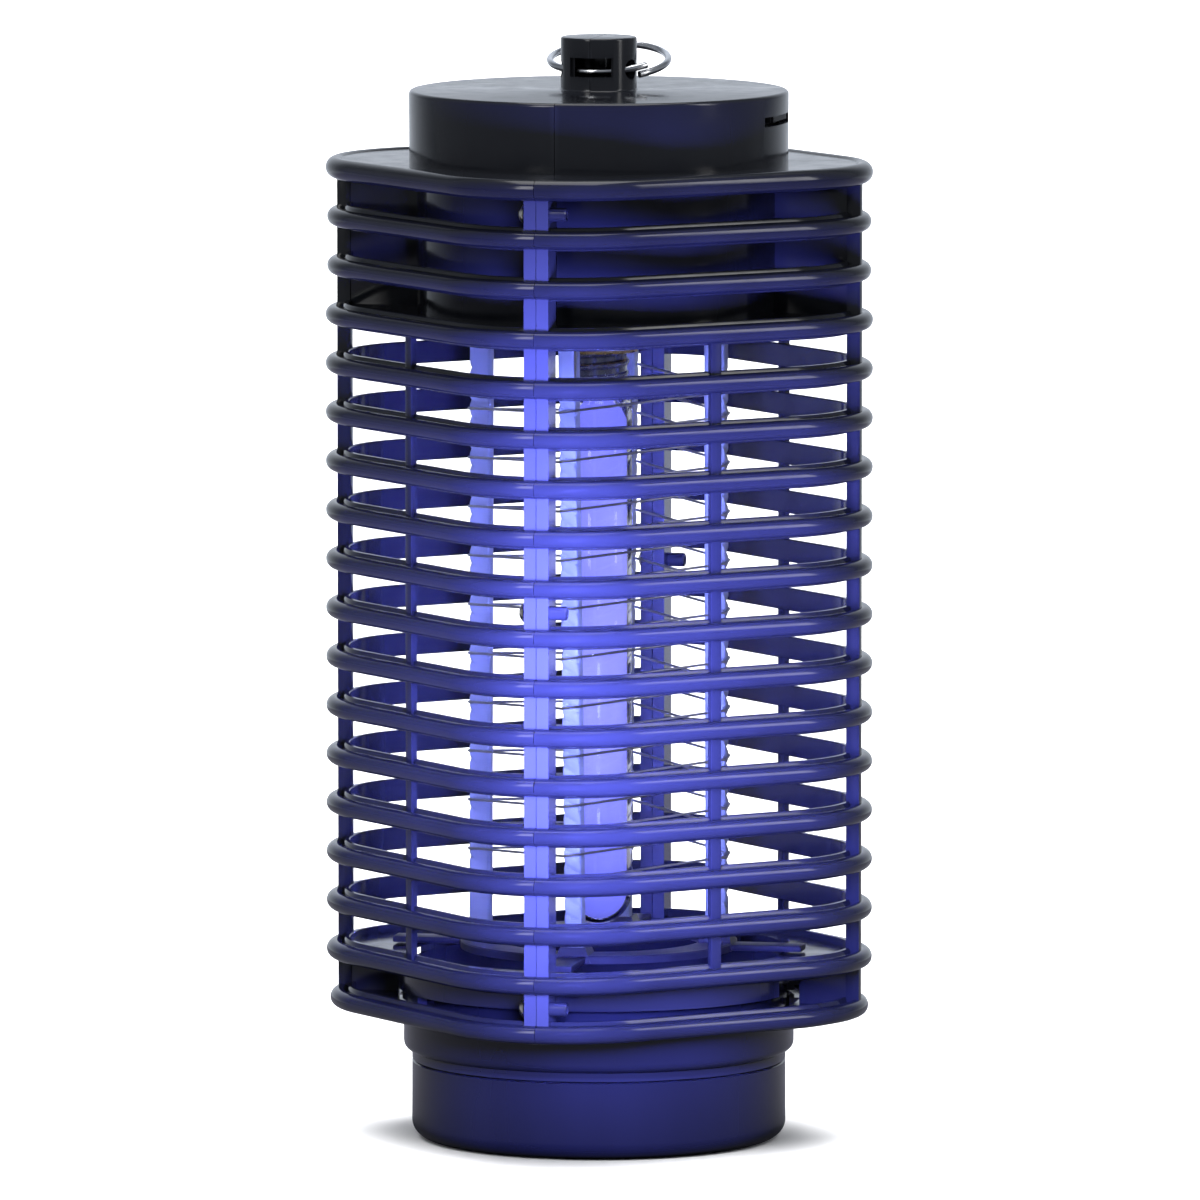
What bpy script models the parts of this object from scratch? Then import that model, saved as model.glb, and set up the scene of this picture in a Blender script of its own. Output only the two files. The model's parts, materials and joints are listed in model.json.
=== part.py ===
"""Lantern bug zapper: a square cage of stacked rings round an ultraviolet tube and a live wire grid.

Metres, +Z up. The origin is the centre of the tray's underside. The cage is two moulded halves
that meet in the plane x = 0, and the corners of its rounded square point along +-X and +-Y.
"""

import math

import bmesh
import bpy
from mathutils import Matrix, Vector

# Whole object
GAP = 0.0003  # between neighbouring pieces
HALF_GAP = GAP / 2
OVERRUN = 0.002  # how far a half is drawn past the seam before it is trimmed
MERGE = 1e-7
HEIGHT = 0.250

# Cage rings and bars
RING_COUNT = 18
RING_PITCH = 0.01113
TOP_RING_Z = 0.220
SQUARE_HALF = 0.0517  # centre to the bead's centre line, across the flats
CORNER_RADIUS = 0.030
CORNER_CENTRE = (SQUARE_HALF - CORNER_RADIUS) * math.sqrt(2)
CORNER_REACH = CORNER_CENTRE + CORNER_RADIUS
ARC_STEPS = 2  # for each eighth of a turn
BEAD_RADIUS = 0.00205
RING_DEPTH = 0.0033  # from the bead's centre line inwards
BAND_OUTER = 0.0020
BAND_HALF_HEIGHT = 0.0025
BAR_WIDTH = 0.0026
SEAM_BAR_WIDTH = 0.0028
SEAM_BAR_INNER = 0.053
FLAT_BAR_INSET = 0.0013  # from the bead's centre line to the bar's outer face
FLAT_BAR_DEPTH = 0.0018
CORNER_BAR_DEPTH = 0.0033
CORNER_BAR_PROUD = 0.0004
PLATE_THICKNESS = 0.0017

# Drum, peg and upper housing
DRUM_RADIUS = 0.0429
DRUM_TOP = 0.238
DRUM_WALL = 0.0018
PEG_RADIUS = 0.0086
PEG_WALL = 0.0016
HOUSING_RADIUS = 0.0410
HOUSING_WALL = 0.0018
HOUSING_BOTTOM = 0.1866
FIN_THICKNESS = 0.002

# Bottom of the cage
FLOOR_Z = 0.0411
FLOOR_HOLE = 0.0430
COLLAR_OUTER = 0.0456
COLLAR_BOTTOM = 0.0342
COLLAR_NOTCH = math.radians(13.4)
BASE_PLATE_Z = 0.0299
BASE_HOLE = 0.0432
LUG_NOTCH = math.radians(10.5)

# Seam screws
SCREW_Y = 0.058
SCREW_TIERS = (0, 8, 16)
SCREW_SHANK = 0.0008
SCREW_HOLE = 0.0011
SCREW_HEAD = 0.00215
BOSS_RADIUS = 0.0017
BOSS_END = 0.0066

# Hanger ring
HANGER_RADIUS = 0.01335
HANGER_WIRE = 0.0008
HANGER_TILT = math.radians(11.4)
HANGER_CENTRE = Vector((0.0004, 0.0084, 0.2444))
HANGER_AXIS = Vector((0.0, -0.0025, 0.24285))
HANGER_LIFT = 0.0018  # one end lies this far above the other
HANGER_HOLE = 0.00225

# High-voltage grid
POST_RADIUS = 0.0273
POST_DEPTH = 0.0048
POST_WIDTH = 0.0040
POST_BOTTOM = 0.0439
POST_TOP = 0.1837
TWIST_TOP = math.radians(-0.9)
TWIST_BOTTOM = math.radians(2.3)
WIRE_RADIUS = 0.00035
WIRE_PITCH = 0.01113
WIRE_BOTTOM = 0.062
WIRE_TURNS = 10
UPPER_FRAME_Z = 0.1840
UPPER_FRAME_TOP = 0.1870
UPPER_FRAME_RADIUS = 0.0388
LOWER_FRAME_Z = 0.0431

# Lamp and its socket
TUBE_RADIUS = 0.0075
TUBE_BOTTOM = 0.0483
TUBE_SHOULDER = 0.1685
CAP_RADIUS = 0.00695
CAP_BOTTOM = 0.171
CAP_TOP = 0.188
SOCKET_RADIUS = 0.0108
SOCKET_BOTTOM = 0.1796
SOCKET_TOP = 0.206

# Circuit board
BOARD_Z = 0.212
BOARD_THICKNESS = 0.0016
BOARD_RADIUS = 0.036
BOARD_SCREW_X = 0.0325
FRAME_SCREW_X = 0.0345

# Slide switch
SLOT_Z = 0.2321
SLOT_HALF_HEIGHT = 0.0011
SLOT_HALF_WIDTH = 0.0120
KNOB_WIDTH = 0.014
KNOB_REST = 0.0035  # the knob's middle at rest, along Y

# Cord inlet
INLET_Z = 0.2295
INLET_RADIUS = 0.0035

# Tray
FLANGE_RADIUS = 0.0443
FLANGE_BOTTOM = 0.0179
FLANGE_TOP = 0.0283
NECK_OUTER = 0.0427
NECK_INNER = 0.0414
NECK_TOP = 0.0400
LUG_ANGLE = math.radians(30.0)
LUG_HALF_WIDTH = math.radians(8.0)
CUP_RADIUS = 0.0424
CUP_TOP = 0.0176
CUP_WALL = 0.0018
SPIGOT_OUTER = 0.0411
SPIGOT_INNER = 0.0396
SPIGOT_TOP = 0.0300
CUP_FILLET = 0.0038


def clear_scene():
    for obj in list(bpy.data.objects):
        bpy.data.objects.remove(obj)


def material(name, colour, roughness, metallic=0.0, transmission=0.0, glow=0.0):
    made = bpy.data.materials.new(name)
    made.use_nodes = True
    shader = made.node_tree.nodes["Principled BSDF"]
    shader.inputs["Base Color"].default_value = (*colour, 1.0)
    shader.inputs["Roughness"].default_value = roughness
    shader.inputs["Metallic"].default_value = metallic
    shader.inputs["Transmission Weight"].default_value = transmission
    shader.inputs["Emission Color"].default_value = (*colour, 1.0)
    shader.inputs["Emission Strength"].default_value = glow
    return made


def new_object(name, bm, finish=None):
    """Closes off a bmesh as an object, with round faces smooth and real edges sharp."""
    bmesh.ops.remove_doubles(bm, verts=bm.verts, dist=MERGE)
    bmesh.ops.recalc_face_normals(bm, faces=bm.faces)
    mesh = bpy.data.meshes.new(name)
    bm.to_mesh(mesh)
    bm.free()
    mesh.shade_smooth()
    mesh.set_sharp_from_angle(angle=math.radians(30))
    obj = bpy.data.objects.new(name, mesh)
    bpy.context.collection.objects.link(obj)
    if finish:
        mesh.materials.append(finish)
    return obj


def combine(obj, operation, tools):
    """Unites the tools with the object, or cuts them from it, and removes them."""
    for tool in tools:
        boolean = obj.modifiers.new(operation, "BOOLEAN")
        boolean.operation = operation
        boolean.object = tool
    bpy.context.view_layer.update()
    graph = bpy.context.evaluated_depsgraph_get()
    mesh = bpy.data.meshes.new_from_object(obj.evaluated_get(graph))
    obj.modifiers.clear()
    obj.data = mesh
    for tool in tools:
        bpy.data.objects.remove(tool)
    return obj


def turned(name, profile, finish=None, steps=24):
    """A (radius, height) outline turned about Z. It is closed, or runs from the axis to the axis."""
    bm = bmesh.new()
    verts = [bm.verts.new((radius, 0, height)) for radius, height in profile]
    pairs = zip(verts, verts[1:] + verts[:1])
    edges = [bm.edges.new(pair) for pair in pairs if pair[0].co.x + pair[1].co.x > 0]
    bmesh.ops.spin(
        bm, geom=verts + edges, axis=(0, 0, 1), angle=2 * math.pi, steps=steps, use_merge=True
    )
    return new_object(name, bm, finish)


def add_box(bm, low, high, turn=0.0):
    """A block with the given corners, then turned about Z."""
    size = Vector(high) - Vector(low)
    middle = (Vector(high) + Vector(low)) / 2
    place = Matrix.Rotation(turn, 4, "Z") @ Matrix.Translation(middle)
    bmesh.ops.create_cube(bm, size=1, matrix=place @ Matrix.Diagonal((*size, 1)))


def block(name, low, high, finish=None, turn=0.0, bevel=0.0):
    bm = bmesh.new()
    add_box(bm, low, high, turn)
    if bevel:
        bmesh.ops.bevel(bm, geom=bm.edges, offset=bevel, segments=1, affect="EDGES")
    return new_object(name, bm, finish)


def add_prism(bm, outline, low, high):
    """A flat outline of (x, y) points drawn up from one height to another."""
    face = bm.faces.new([bm.verts.new((x, y, low)) for x, y in outline])
    grown = bmesh.ops.extrude_face_region(bm, geom=[face])["geom"]
    moved = [item for item in grown if isinstance(item, bmesh.types.BMVert)]
    bmesh.ops.translate(bm, verts=moved, vec=(0, 0, high - low))


def add_rod(bm, start, end, radius, sides=10):
    """A round bar between two points."""
    start, end = Vector(start), Vector(end)
    along = end - start
    turn = along.to_track_quat("Z", "Y").to_matrix().to_4x4()
    bmesh.ops.create_cone(
        bm,
        cap_ends=True,
        segments=sides,
        radius1=radius,
        radius2=radius,
        depth=along.length,
        matrix=Matrix.Translation((start + end) / 2) @ turn,
    )


def rod(name, start, end, radius, finish=None, sides=10):
    bm = bmesh.new()
    add_rod(bm, start, end, radius, sides)
    return new_object(name, bm, finish)


def tube(name, points, radius, finish, sides=1):
    """A wire along a line of points, with closed ends."""
    curve = bpy.data.curves.new(name, "CURVE")
    curve.dimensions = "3D"
    curve.bevel_depth = radius
    curve.bevel_resolution = sides
    curve.use_fill_caps = True
    line = curve.splines.new("POLY")
    line.points.add(len(points) - 1)
    for point, place in zip(line.points, points):
        point.co = (*place, 1)
    curve.materials.append(finish)
    obj = bpy.data.objects.new(name, curve)
    bpy.context.collection.objects.link(obj)
    return obj


def ring_z(index):
    return TOP_RING_Z - index * RING_PITCH


def arc(radius, start, end, steps, centre=(0.0, 0.0)):
    """Points along an arc, with both ends."""
    angles = [start + (end - start) * step / steps for step in range(steps + 1)]
    return [(centre[0] + radius * math.cos(a), centre[1] + radius * math.sin(a)) for a in angles]


def half_outline(offset):
    """The +X half of the rounded square, drawn past the seam at both ends."""
    radius = CORNER_RADIUS + offset
    quarter, eighth = math.pi / 2, math.pi / 4
    front = arc(radius, -quarter, -eighth, ARC_STEPS, (0, -CORNER_CENTRE))
    side = arc(radius, -eighth, eighth, 2 * ARC_STEPS, (CORNER_CENTRE, 0))
    back = arc(radius, eighth, quarter, ARC_STEPS, (0, CORNER_CENTRE))
    reach = CORNER_CENTRE + radius
    return [(-OVERRUN, -reach), *front, *side, *back, (-OVERRUN, reach)]


def ring_inset(index):
    """The top three rings and the bottom one are a little smaller than the rest."""
    if index == RING_COUNT - 1:
        return 0.0008
    return 0.0004 if index < 3 else 0.0


def add_ring(bm, index):
    """One half ring: a taller band with a rounded bead along its outer side."""
    bead = 0.0024 if index == 0 else BEAD_RADIUS
    low, high = -BAND_HALF_HEIGHT, 0.0017 if index == 0 else BAND_HALF_HEIGHT
    shoulder = bead * 0.4
    section = [
        (-RING_DEPTH, low),
        (-BAND_OUTER, low),
        (shoulder, -bead),
        (bead, 0),
        (shoulder, bead),
        (-BAND_OUTER, high),
        (-RING_DEPTH, high),
    ]
    loops = []
    for offset, rise in section:
        outline = half_outline(offset - ring_inset(index))
        loops.append([bm.verts.new((x, y, ring_z(index) + rise)) for x, y in outline])
    for lower, upper in zip(loops, loops[1:] + loops[:1]):
        for step in range(len(lower) - 1):
            bm.faces.new((lower[step], lower[step + 1], upper[step + 1], upper[step]))
    bm.faces.new([loop[0] for loop in loops])
    bm.faces.new([loop[-1] for loop in loops])


def ring_stack():
    bm = bmesh.new()
    for index in range(RING_COUNT):
        add_ring(bm, index)
    return new_object("rings", bm)


def bars():
    """Upright bars: one at the side corner, one on each flat, and a deep one at each seam."""
    bm = bmesh.new()
    low, high = ring_z(RING_COUNT - 1) - 0.001, TOP_RING_Z + 0.001
    half = BAR_WIDTH / 2
    outer = CORNER_REACH + CORNER_BAR_PROUD
    add_box(bm, (outer - CORNER_BAR_DEPTH, -half, low), (outer, half, high))
    flat = SQUARE_HALF - FLAT_BAR_INSET
    for turn in (-math.pi / 4, math.pi / 4):
        add_box(bm, (flat - FLAT_BAR_DEPTH, -half, low), (flat, half, high), turn)
    for side in (-1, 1):
        ends = sorted((side * SEAM_BAR_INNER, side * (CORNER_REACH - 0.0004)))
        add_box(bm, (-OVERRUN, ends[0], low), (SEAM_BAR_WIDTH, ends[1], high))
    return new_object("bars", bm)


def add_plate(bm, offset, hole, low, high, notch=None):
    """A flat web from the rings in to a round hole, with an optional notch in the hole."""
    quarter = math.pi / 2
    if notch:
        reach, half = notch
        inner = arc(hole, quarter, half, 8) + arc(reach, half, -half, 3)
        inner += arc(hole, -half, -quarter, 8)
    else:
        inner = arc(hole, quarter, -quarter, 16)
    outline = half_outline(offset) + [(-OVERRUN, hole), *inner, (-OVERRUN, -hole)]
    add_prism(bm, outline, low, high)


def plates():
    bm = bmesh.new()
    top = TOP_RING_Z + 0.002
    add_plate(bm, -0.0008, HOUSING_RADIUS - 0.0009, top - PLATE_THICKNESS, top)
    closing_top = HOUSING_BOTTOM + PLATE_THICKNESS
    add_plate(bm, -RING_DEPTH + 0.001, HOUSING_RADIUS - 0.0009, HOUSING_BOTTOM + 0.0001, closing_top)
    floor_top = FLOOR_Z + PLATE_THICKNESS
    add_plate(bm, -RING_DEPTH + 0.001, FLOOR_HOLE, FLOOR_Z, floor_top)
    base_top = BASE_PLATE_Z + PLATE_THICKNESS
    notch = (COLLAR_OUTER, LUG_NOTCH)
    add_plate(bm, -RING_DEPTH + 0.0005, BASE_HOLE, BASE_PLATE_Z, base_top, notch)
    return new_object("plates", bm)


def housing_profile():
    """Peg, drum and the cylinder round the electronics, as one wall that is open underneath."""
    rim = 0.0009
    ceiling = DRUM_TOP - DRUM_WALL
    ledge = TOP_RING_Z + 0.0006
    return [
        (0, HEIGHT),
        (PEG_RADIUS - 0.0004, HEIGHT),
        (PEG_RADIUS, HEIGHT - 0.0004),
        (PEG_RADIUS, DRUM_TOP),
        (DRUM_RADIUS - rim, DRUM_TOP),
        (DRUM_RADIUS, DRUM_TOP - rim),
        (DRUM_RADIUS - 0.0001, ledge),
        (HOUSING_RADIUS, ledge),
        (HOUSING_RADIUS, HOUSING_BOTTOM),
        (HOUSING_RADIUS - HOUSING_WALL, HOUSING_BOTTOM),
        (HOUSING_RADIUS - HOUSING_WALL, ledge + 0.0018),
        (DRUM_RADIUS - DRUM_WALL, ledge + 0.0018),
        (DRUM_RADIUS - DRUM_WALL, ceiling),
        (PEG_RADIUS - PEG_WALL, ceiling),
        (PEG_RADIUS - PEG_WALL, HEIGHT - PEG_WALL),
        (0, HEIGHT - PEG_WALL),
    ]


def collar():
    """The wall that guides the tray's neck, open at the side corner."""
    bm = bmesh.new()
    quarter = math.pi / 2 + 0.03
    for start, end in ((-quarter, -COLLAR_NOTCH), (COLLAR_NOTCH, quarter)):
        outline = arc(COLLAR_OUTER, start, end, 8) + arc(FLOOR_HOLE + 0.0002, end, start, 8)
        add_prism(bm, outline, COLLAR_BOTTOM, FLOOR_Z + 0.0008)
    return new_object("collar", bm)


def fins():
    """Radial webs to the side corner, above and below the open tiers."""
    bm = bmesh.new()
    half = FIN_THICKNESS / 2
    outer = CORNER_REACH - 0.002
    inner = HOUSING_RADIUS - 0.0008
    add_box(bm, (inner, -half, HOUSING_BOTTOM + 0.0006), (outer, half, TOP_RING_Z + 0.0011))
    low, high = BASE_PLATE_Z + 0.0009, FLOOR_Z + 0.0009
    add_box(bm, (COLLAR_OUTER + 0.0012, -half, low), (outer, half, high))
    return new_object("fins", bm)


def board_pillar():
    wall = HOUSING_RADIUS - HOUSING_WALL + 0.0005
    low = (BOARD_SCREW_X - 0.003, -0.003, UPPER_FRAME_TOP + GAP)
    return block("board_pillar", low, (wall, 0.003, BOARD_Z - GAP))


def screw_heights():
    return [ring_z(tier) - RING_PITCH / 2 for tier in SCREW_TIERS]


def seam_screw_places():
    """(name, y, z) of each screw across the seam."""
    sides = (("front", -SCREW_Y), ("back", SCREW_Y))
    levels = zip(("top", "middle", "bottom"), screw_heights())
    return [(f"{side}_{level}", y, z) for level, z in levels for side, y in sides]


def along_seam_screws(name, start, end, radius, sides):
    bm = bmesh.new()
    for _, y, z in seam_screw_places():
        add_rod(bm, (start, y, z), (end, y, z), radius, sides)
    return new_object(name, bm)


def pillar_holes():
    """Blind holes for the board's screw from above and the grid frame's screw from below."""
    bm = bmesh.new()
    add_rod(bm, (BOARD_SCREW_X, 0, BOARD_Z - 0.008), (BOARD_SCREW_X, 0, BOARD_Z), SCREW_HOLE, 8)
    foot = UPPER_FRAME_TOP
    add_rod(bm, (FRAME_SCREW_X, 0, foot), (FRAME_SCREW_X, 0, foot + 0.008), SCREW_HOLE, 8)
    return new_object("pillar_holes", bm)


def peg_openings():
    """The window over the front seam and the hole that the hanger ring swings in."""
    bm = bmesh.new()
    add_box(bm, (-0.005, -PEG_RADIUS - 0.001, 0.2413), (0.005, -PEG_RADIUS + 0.003, 0.2456))
    hole_end = HANGER_AXIS + Vector((PEG_RADIUS + 0.002, 0, 0))
    add_rod(bm, HANGER_AXIS + Vector((0.0045, 0, 0)), hole_end, HANGER_HOLE, 12)
    return new_object("peg_openings", bm)


def switch_slot():
    low = (DRUM_RADIUS - 0.006, -SLOT_HALF_WIDTH, SLOT_Z - SLOT_HALF_HEIGHT)
    high = (DRUM_RADIUS + 0.002, SLOT_HALF_WIDTH, SLOT_Z + SLOT_HALF_HEIGHT)
    return block("switch_slot", low, high)


def inlet_hole():
    start = (0, DRUM_RADIUS - 0.005, INLET_Z)
    return rod("inlet_hole", start, (0, DRUM_RADIUS + 0.003, INLET_Z), INLET_RADIUS + GAP, sides=16)


def beyond_seam():
    reach = 0.1
    return block("beyond_seam", (-reach, -reach, -reach), (HALF_GAP, reach, 3 * reach))


def cage_half(name, has_bosses, finish):
    """The +X half, with the bosses and the switch slot, or the plain half to be mirrored."""
    half = ring_stack()
    housing = turned("housing", housing_profile(), steps=32)
    solids = [bars(), plates(), housing, collar(), fins(), board_pillar()]
    if has_bosses:
        start = SEAM_BAR_WIDTH - 0.0004
        solids.append(along_seam_screws("bosses", start, BOSS_END, BOSS_RADIUS, 10))
    combine(half, "UNION", solids)
    hole_end = BOSS_END - 0.0007 if has_bosses else 0.02
    screw_holes = along_seam_screws("screw_holes", -0.01, hole_end, SCREW_HOLE, 8)
    cutters = [beyond_seam(), screw_holes, pillar_holes(), peg_openings(), inlet_hole()]
    if has_bosses:
        cutters.append(switch_slot())
    combine(half, "DIFFERENCE", cutters)
    half.name = half.data.name = name
    half.data.materials.clear()
    half.data.materials.append(finish)
    return half


def mirror_across_seam(obj):
    bm = bmesh.new()
    bm.from_mesh(obj.data)
    bmesh.ops.scale(bm, vec=(-1, 1, 1), verts=bm.verts)
    bmesh.ops.reverse_faces(bm, faces=bm.faces)
    bm.to_mesh(obj.data)
    bm.free()


def cage(finish):
    cage_half("cage_right_half", True, finish)
    mirror_across_seam(cage_half("cage_left_half", False, finish))


def screw(name, place, turn, length, finish):
    """A pan-head screw. Its head rises from the origin along +Z, and its shank hangs below."""
    head = [
        (0, 0.0013),
        (SCREW_HEAD * 0.6, 0.0011),
        (SCREW_HEAD, 0.0005),
        (SCREW_HEAD, 0),
        (SCREW_SHANK, 0),
        (SCREW_SHANK, -length + 0.001),
        (0, -length),
    ]
    made = turned(name, head, finish, steps=10)
    made.matrix_world = Matrix.Translation(place) @ turn
    return made


def seam_screws(finish):
    face = -(SEAM_BAR_WIDTH + GAP)
    turn = Matrix.Rotation(-math.pi / 2, 4, "Y")
    length = BOSS_END - 0.001 - face
    for level, y, z in seam_screw_places():
        screw(f"seam_screw_{level}", (face, y, z), turn, length, finish)


def hanger_points(steps):
    """The split ring: a little over one turn, its ends side by side at the right of the peg."""
    start, end = math.radians(52), math.radians(52 - 368.5)
    tilt = Matrix.Rotation(HANGER_TILT, 3, "X")
    points = []
    for step in range(steps + 1):
        part = step / steps
        angle = start + (end - start) * part
        flat = Vector((math.sin(angle), -math.cos(angle), 0)) * HANGER_RADIUS
        flat.z = HANGER_LIFT * (0.5 - part)
        points.append(HANGER_CENTRE + tilt @ flat)
    return points


def hanger(finish):
    points = [point - HANGER_AXIS for point in hanger_points(30)]
    tube("hanger_ring", points, HANGER_WIRE, finish).location = HANGER_AXIS


def grid_turn(height):
    """The grid is twisted a few degrees between its two frames."""
    part = (POST_TOP - height) / (POST_TOP - POST_BOTTOM)
    return TWIST_TOP + (TWIST_BOTTOM - TWIST_TOP) * part


def turned_point(radius, across, angle, height):
    turn = Matrix.Rotation(angle, 3, "Z")
    return turn @ Vector((radius, across, height))


def add_loft(bm, depth, width, quarter, low, high):
    """A leg that follows the grid's twist, in short straight stretches."""
    stretches = 4
    loops = []
    for step in range(stretches + 1):
        height = low + (high - low) * step / stretches
        angle = quarter + grid_turn(height)
        corners = ((-1, -1), (1, -1), (1, 1), (-1, 1))
        loops.append(
            [
                bm.verts.new(
                    turned_point(POST_RADIUS + a * depth / 2, b * width / 2, angle, height)
                )
                for a, b in corners
            ]
        )
    for lower, upper in zip(loops, loops[1:]):
        for side in range(4):
            after = (side + 1) % 4
            bm.faces.new((lower[side], lower[after], upper[after], upper[side]))
    bm.faces.new(loops[0])
    bm.faces.new(loops[-1])


POST_NAMES = ("right", "back", "left", "front")
TENON_DEPTH = 0.003
TENON_WIDTH = 0.0026


def grid_posts(finish):
    for index, name in enumerate(POST_NAMES):
        quarter = index * math.pi / 2
        bm = bmesh.new()
        add_loft(bm, POST_DEPTH, POST_WIDTH, quarter, POST_BOTTOM, POST_TOP)
        post = new_object(f"grid_post_{name}", bm, finish)
        low = (POST_RADIUS - TENON_DEPTH / 2, -TENON_WIDTH / 2, POST_TOP - 0.002)
        high = (POST_RADIUS + TENON_DEPTH / 2, TENON_WIDTH / 2, UPPER_FRAME_TOP + 0.001)
        tenon = block("tenon", low, high, finish, quarter + TWIST_TOP)
        combine(post, "UNION", [tenon])


def wire_points(first_post):
    """One winding round the outer edges of the four posts, then a tail up through the frame."""
    reach = POST_RADIUS + POST_DEPTH / 2 + GAP + WIRE_RADIUS
    across = POST_WIDTH / 2
    corners = WIRE_TURNS * 4 + 1
    points = []
    for corner in range(corners):
        quarter = (first_post + corner) * math.pi / 2
        for side in (-1, 1):
            height = WIRE_BOTTOM + WIRE_PITCH * (corner + side * 0.1) / 4
            points.append(turned_point(reach, side * across, quarter + grid_turn(height), height))
    last = points[-1]
    points.append(Vector((last.x, last.y, UPPER_FRAME_TOP + 0.0025)))
    return points


WIRE_STARTS = {"grid_wire_live": 1, "grid_wire_return": 3}


def grid_wires(finish):
    for name, first_post in WIRE_STARTS.items():
        tube(name, wire_points(first_post), WIRE_RADIUS, finish)


def frame_sockets(depth, width, low, high, angle):
    bm = bmesh.new()
    for index in range(4):
        inner, outer = POST_RADIUS - depth / 2, POST_RADIUS + depth / 2
        turn = index * math.pi / 2 + angle
        add_box(bm, (inner, -width / 2, low), (outer, width / 2, high), turn)
    return new_object("sockets", bm)


def upper_frame(finish):
    """The disc that closes the housing and holds the tops of the posts."""
    hole = SOCKET_RADIUS + GAP
    profile = [
        (hole, UPPER_FRAME_TOP),
        (UPPER_FRAME_RADIUS, UPPER_FRAME_TOP),
        (UPPER_FRAME_RADIUS, UPPER_FRAME_Z),
        (hole, UPPER_FRAME_Z),
    ]
    disc = turned("grid_frame_upper", profile, finish, steps=32)
    clear = 2 * GAP
    low, high = UPPER_FRAME_Z - 0.001, UPPER_FRAME_TOP + 0.001
    tenons = frame_sockets(TENON_DEPTH + clear, TENON_WIDTH + clear, low, high, TWIST_TOP)
    bm = bmesh.new()
    for first_post in WIRE_STARTS.values():
        tail = wire_points(first_post)[-1]
        add_rod(bm, (tail.x, tail.y, low), (tail.x, tail.y, high), WIRE_RADIUS + GAP, 8)
    for side in (-1, 1):
        place = side * FRAME_SCREW_X
        add_rod(bm, (place, 0, low), (place, 0, high), SCREW_HOLE, 8)
    combine(disc, "DIFFERENCE", [tenons, new_object("holes", bm)])


def lower_frame(finish):
    """A ring with four arms that lie on the cage's floor, and a pocket for the foot of each post."""
    top = LOWER_FRAME_Z + 0.0018
    inner, outer = 0.0232, 0.0314
    frame = turned(
        "grid_frame_lower",
        [(inner, top), (outer, top), (outer, LOWER_FRAME_Z), (inner, LOWER_FRAME_Z)],
        finish,
        steps=32,
    )
    arm_top = LOWER_FRAME_Z + 0.0015
    rim, arm_end = outer - 0.0015, 0.0472
    bm = bmesh.new()
    for index in range(4):
        turn = index * math.pi / 2 + TWIST_BOTTOM
        add_box(bm, (rim, -0.003, LOWER_FRAME_Z + 0.0001), (arm_end, 0.003, arm_top), turn)
    arms = new_object("arms", bm)
    blocks = frame_sockets(0.0078, 0.0070, LOWER_FRAME_Z + 0.0002, 0.0467, TWIST_BOTTOM)
    combine(frame, "UNION", [arms, blocks])
    clear = 2 * GAP
    pocket = POST_BOTTOM - GAP
    cuts = frame_sockets(POST_DEPTH + clear, POST_WIDTH + clear, pocket, 0.05, TWIST_BOTTOM)
    combine(frame, "DIFFERENCE", [cuts])


def frame_screws(finish):
    upside_down = Matrix.Rotation(math.pi, 4, "X")
    for name, side in (("left", -1), ("right", 1)):
        place = (side * FRAME_SCREW_X, 0, UPPER_FRAME_Z - GAP)
        screw(f"frame_screw_{name}", place, upside_down, 0.0095, finish)
        place = (side * BOARD_SCREW_X, 0, BOARD_Z + BOARD_THICKNESS + GAP)
        screw(f"board_screw_{name}", place, Matrix.Identity(4), 0.0085, finish)


def lamp(glass, metal, ceramic):
    """Glass tube, its stem, and a small screw cap with an insulator and an end contact."""
    wall = 0.0009
    neck, neck_top = 0.0059, CAP_BOTTOM + 0.004
    end = TUBE_RADIUS * 0.55
    tube_profile = [
        (neck, neck_top),
        (neck, TUBE_SHOULDER + 0.0015),
        (TUBE_RADIUS, TUBE_SHOULDER - 0.001),
        (TUBE_RADIUS, TUBE_BOTTOM + 0.0045),
        (TUBE_RADIUS * 0.87, TUBE_BOTTOM + 0.0018),
        (end, TUBE_BOTTOM + 0.0004),
        (0, TUBE_BOTTOM),
        (0, TUBE_BOTTOM + wall),
        (end - wall, TUBE_BOTTOM + 0.0004 + wall),
        (TUBE_RADIUS - wall, TUBE_BOTTOM + 0.005),
        (TUBE_RADIUS - wall, TUBE_SHOULDER - 0.0015),
        (neck - wall, TUBE_SHOULDER + 0.001),
        (neck - wall, neck_top),
    ]
    turned("lamp_tube", tube_profile, glass, steps=20)
    stem = [(0, 0.1745), (0.0042, 0.1745), (0.0042, 0.170), (0.0022, 0.160), (0, 0.160)]
    turned("lamp_stem", stem, glass, steps=12)
    turned("lamp_cap", cap_profile(), metal, steps=20)
    insulator = [(0, 0.1901), (0.0026, 0.1901), (0.0060, CAP_TOP + GAP), (0, CAP_TOP + GAP)]
    turned("lamp_cap_insulator", insulator, ceramic, steps=16)
    contact = [(0, 0.1918), (0.0016, 0.1916), (0.0022, 0.1904), (0, 0.1904)]
    turned("lamp_end_contact", contact, metal, steps=12)


def cap_profile():
    """A thin shell, open below, with its outside in rolled thread ridges."""
    ridges, wall = 4, 0.0004
    pitch = 0.0028
    inner = CAP_RADIUS - wall - 0.0004
    outside = [(CAP_RADIUS - 0.0006, CAP_TOP - 0.0006)]
    for ridge in range(ridges):
        crest = CAP_TOP - 0.0030 - ridge * pitch
        outside.append((CAP_RADIUS, crest))
        outside.append((CAP_RADIUS - 0.0004, crest - pitch / 2))
    outside += [(CAP_RADIUS, CAP_BOTTOM + 0.001), (CAP_RADIUS, CAP_BOTTOM)]
    top = [(0, CAP_TOP - wall), (0, CAP_TOP), (inner - 0.001, CAP_TOP)]
    return top + outside + [(inner, CAP_BOTTOM), (inner, CAP_TOP - 0.001)]


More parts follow.
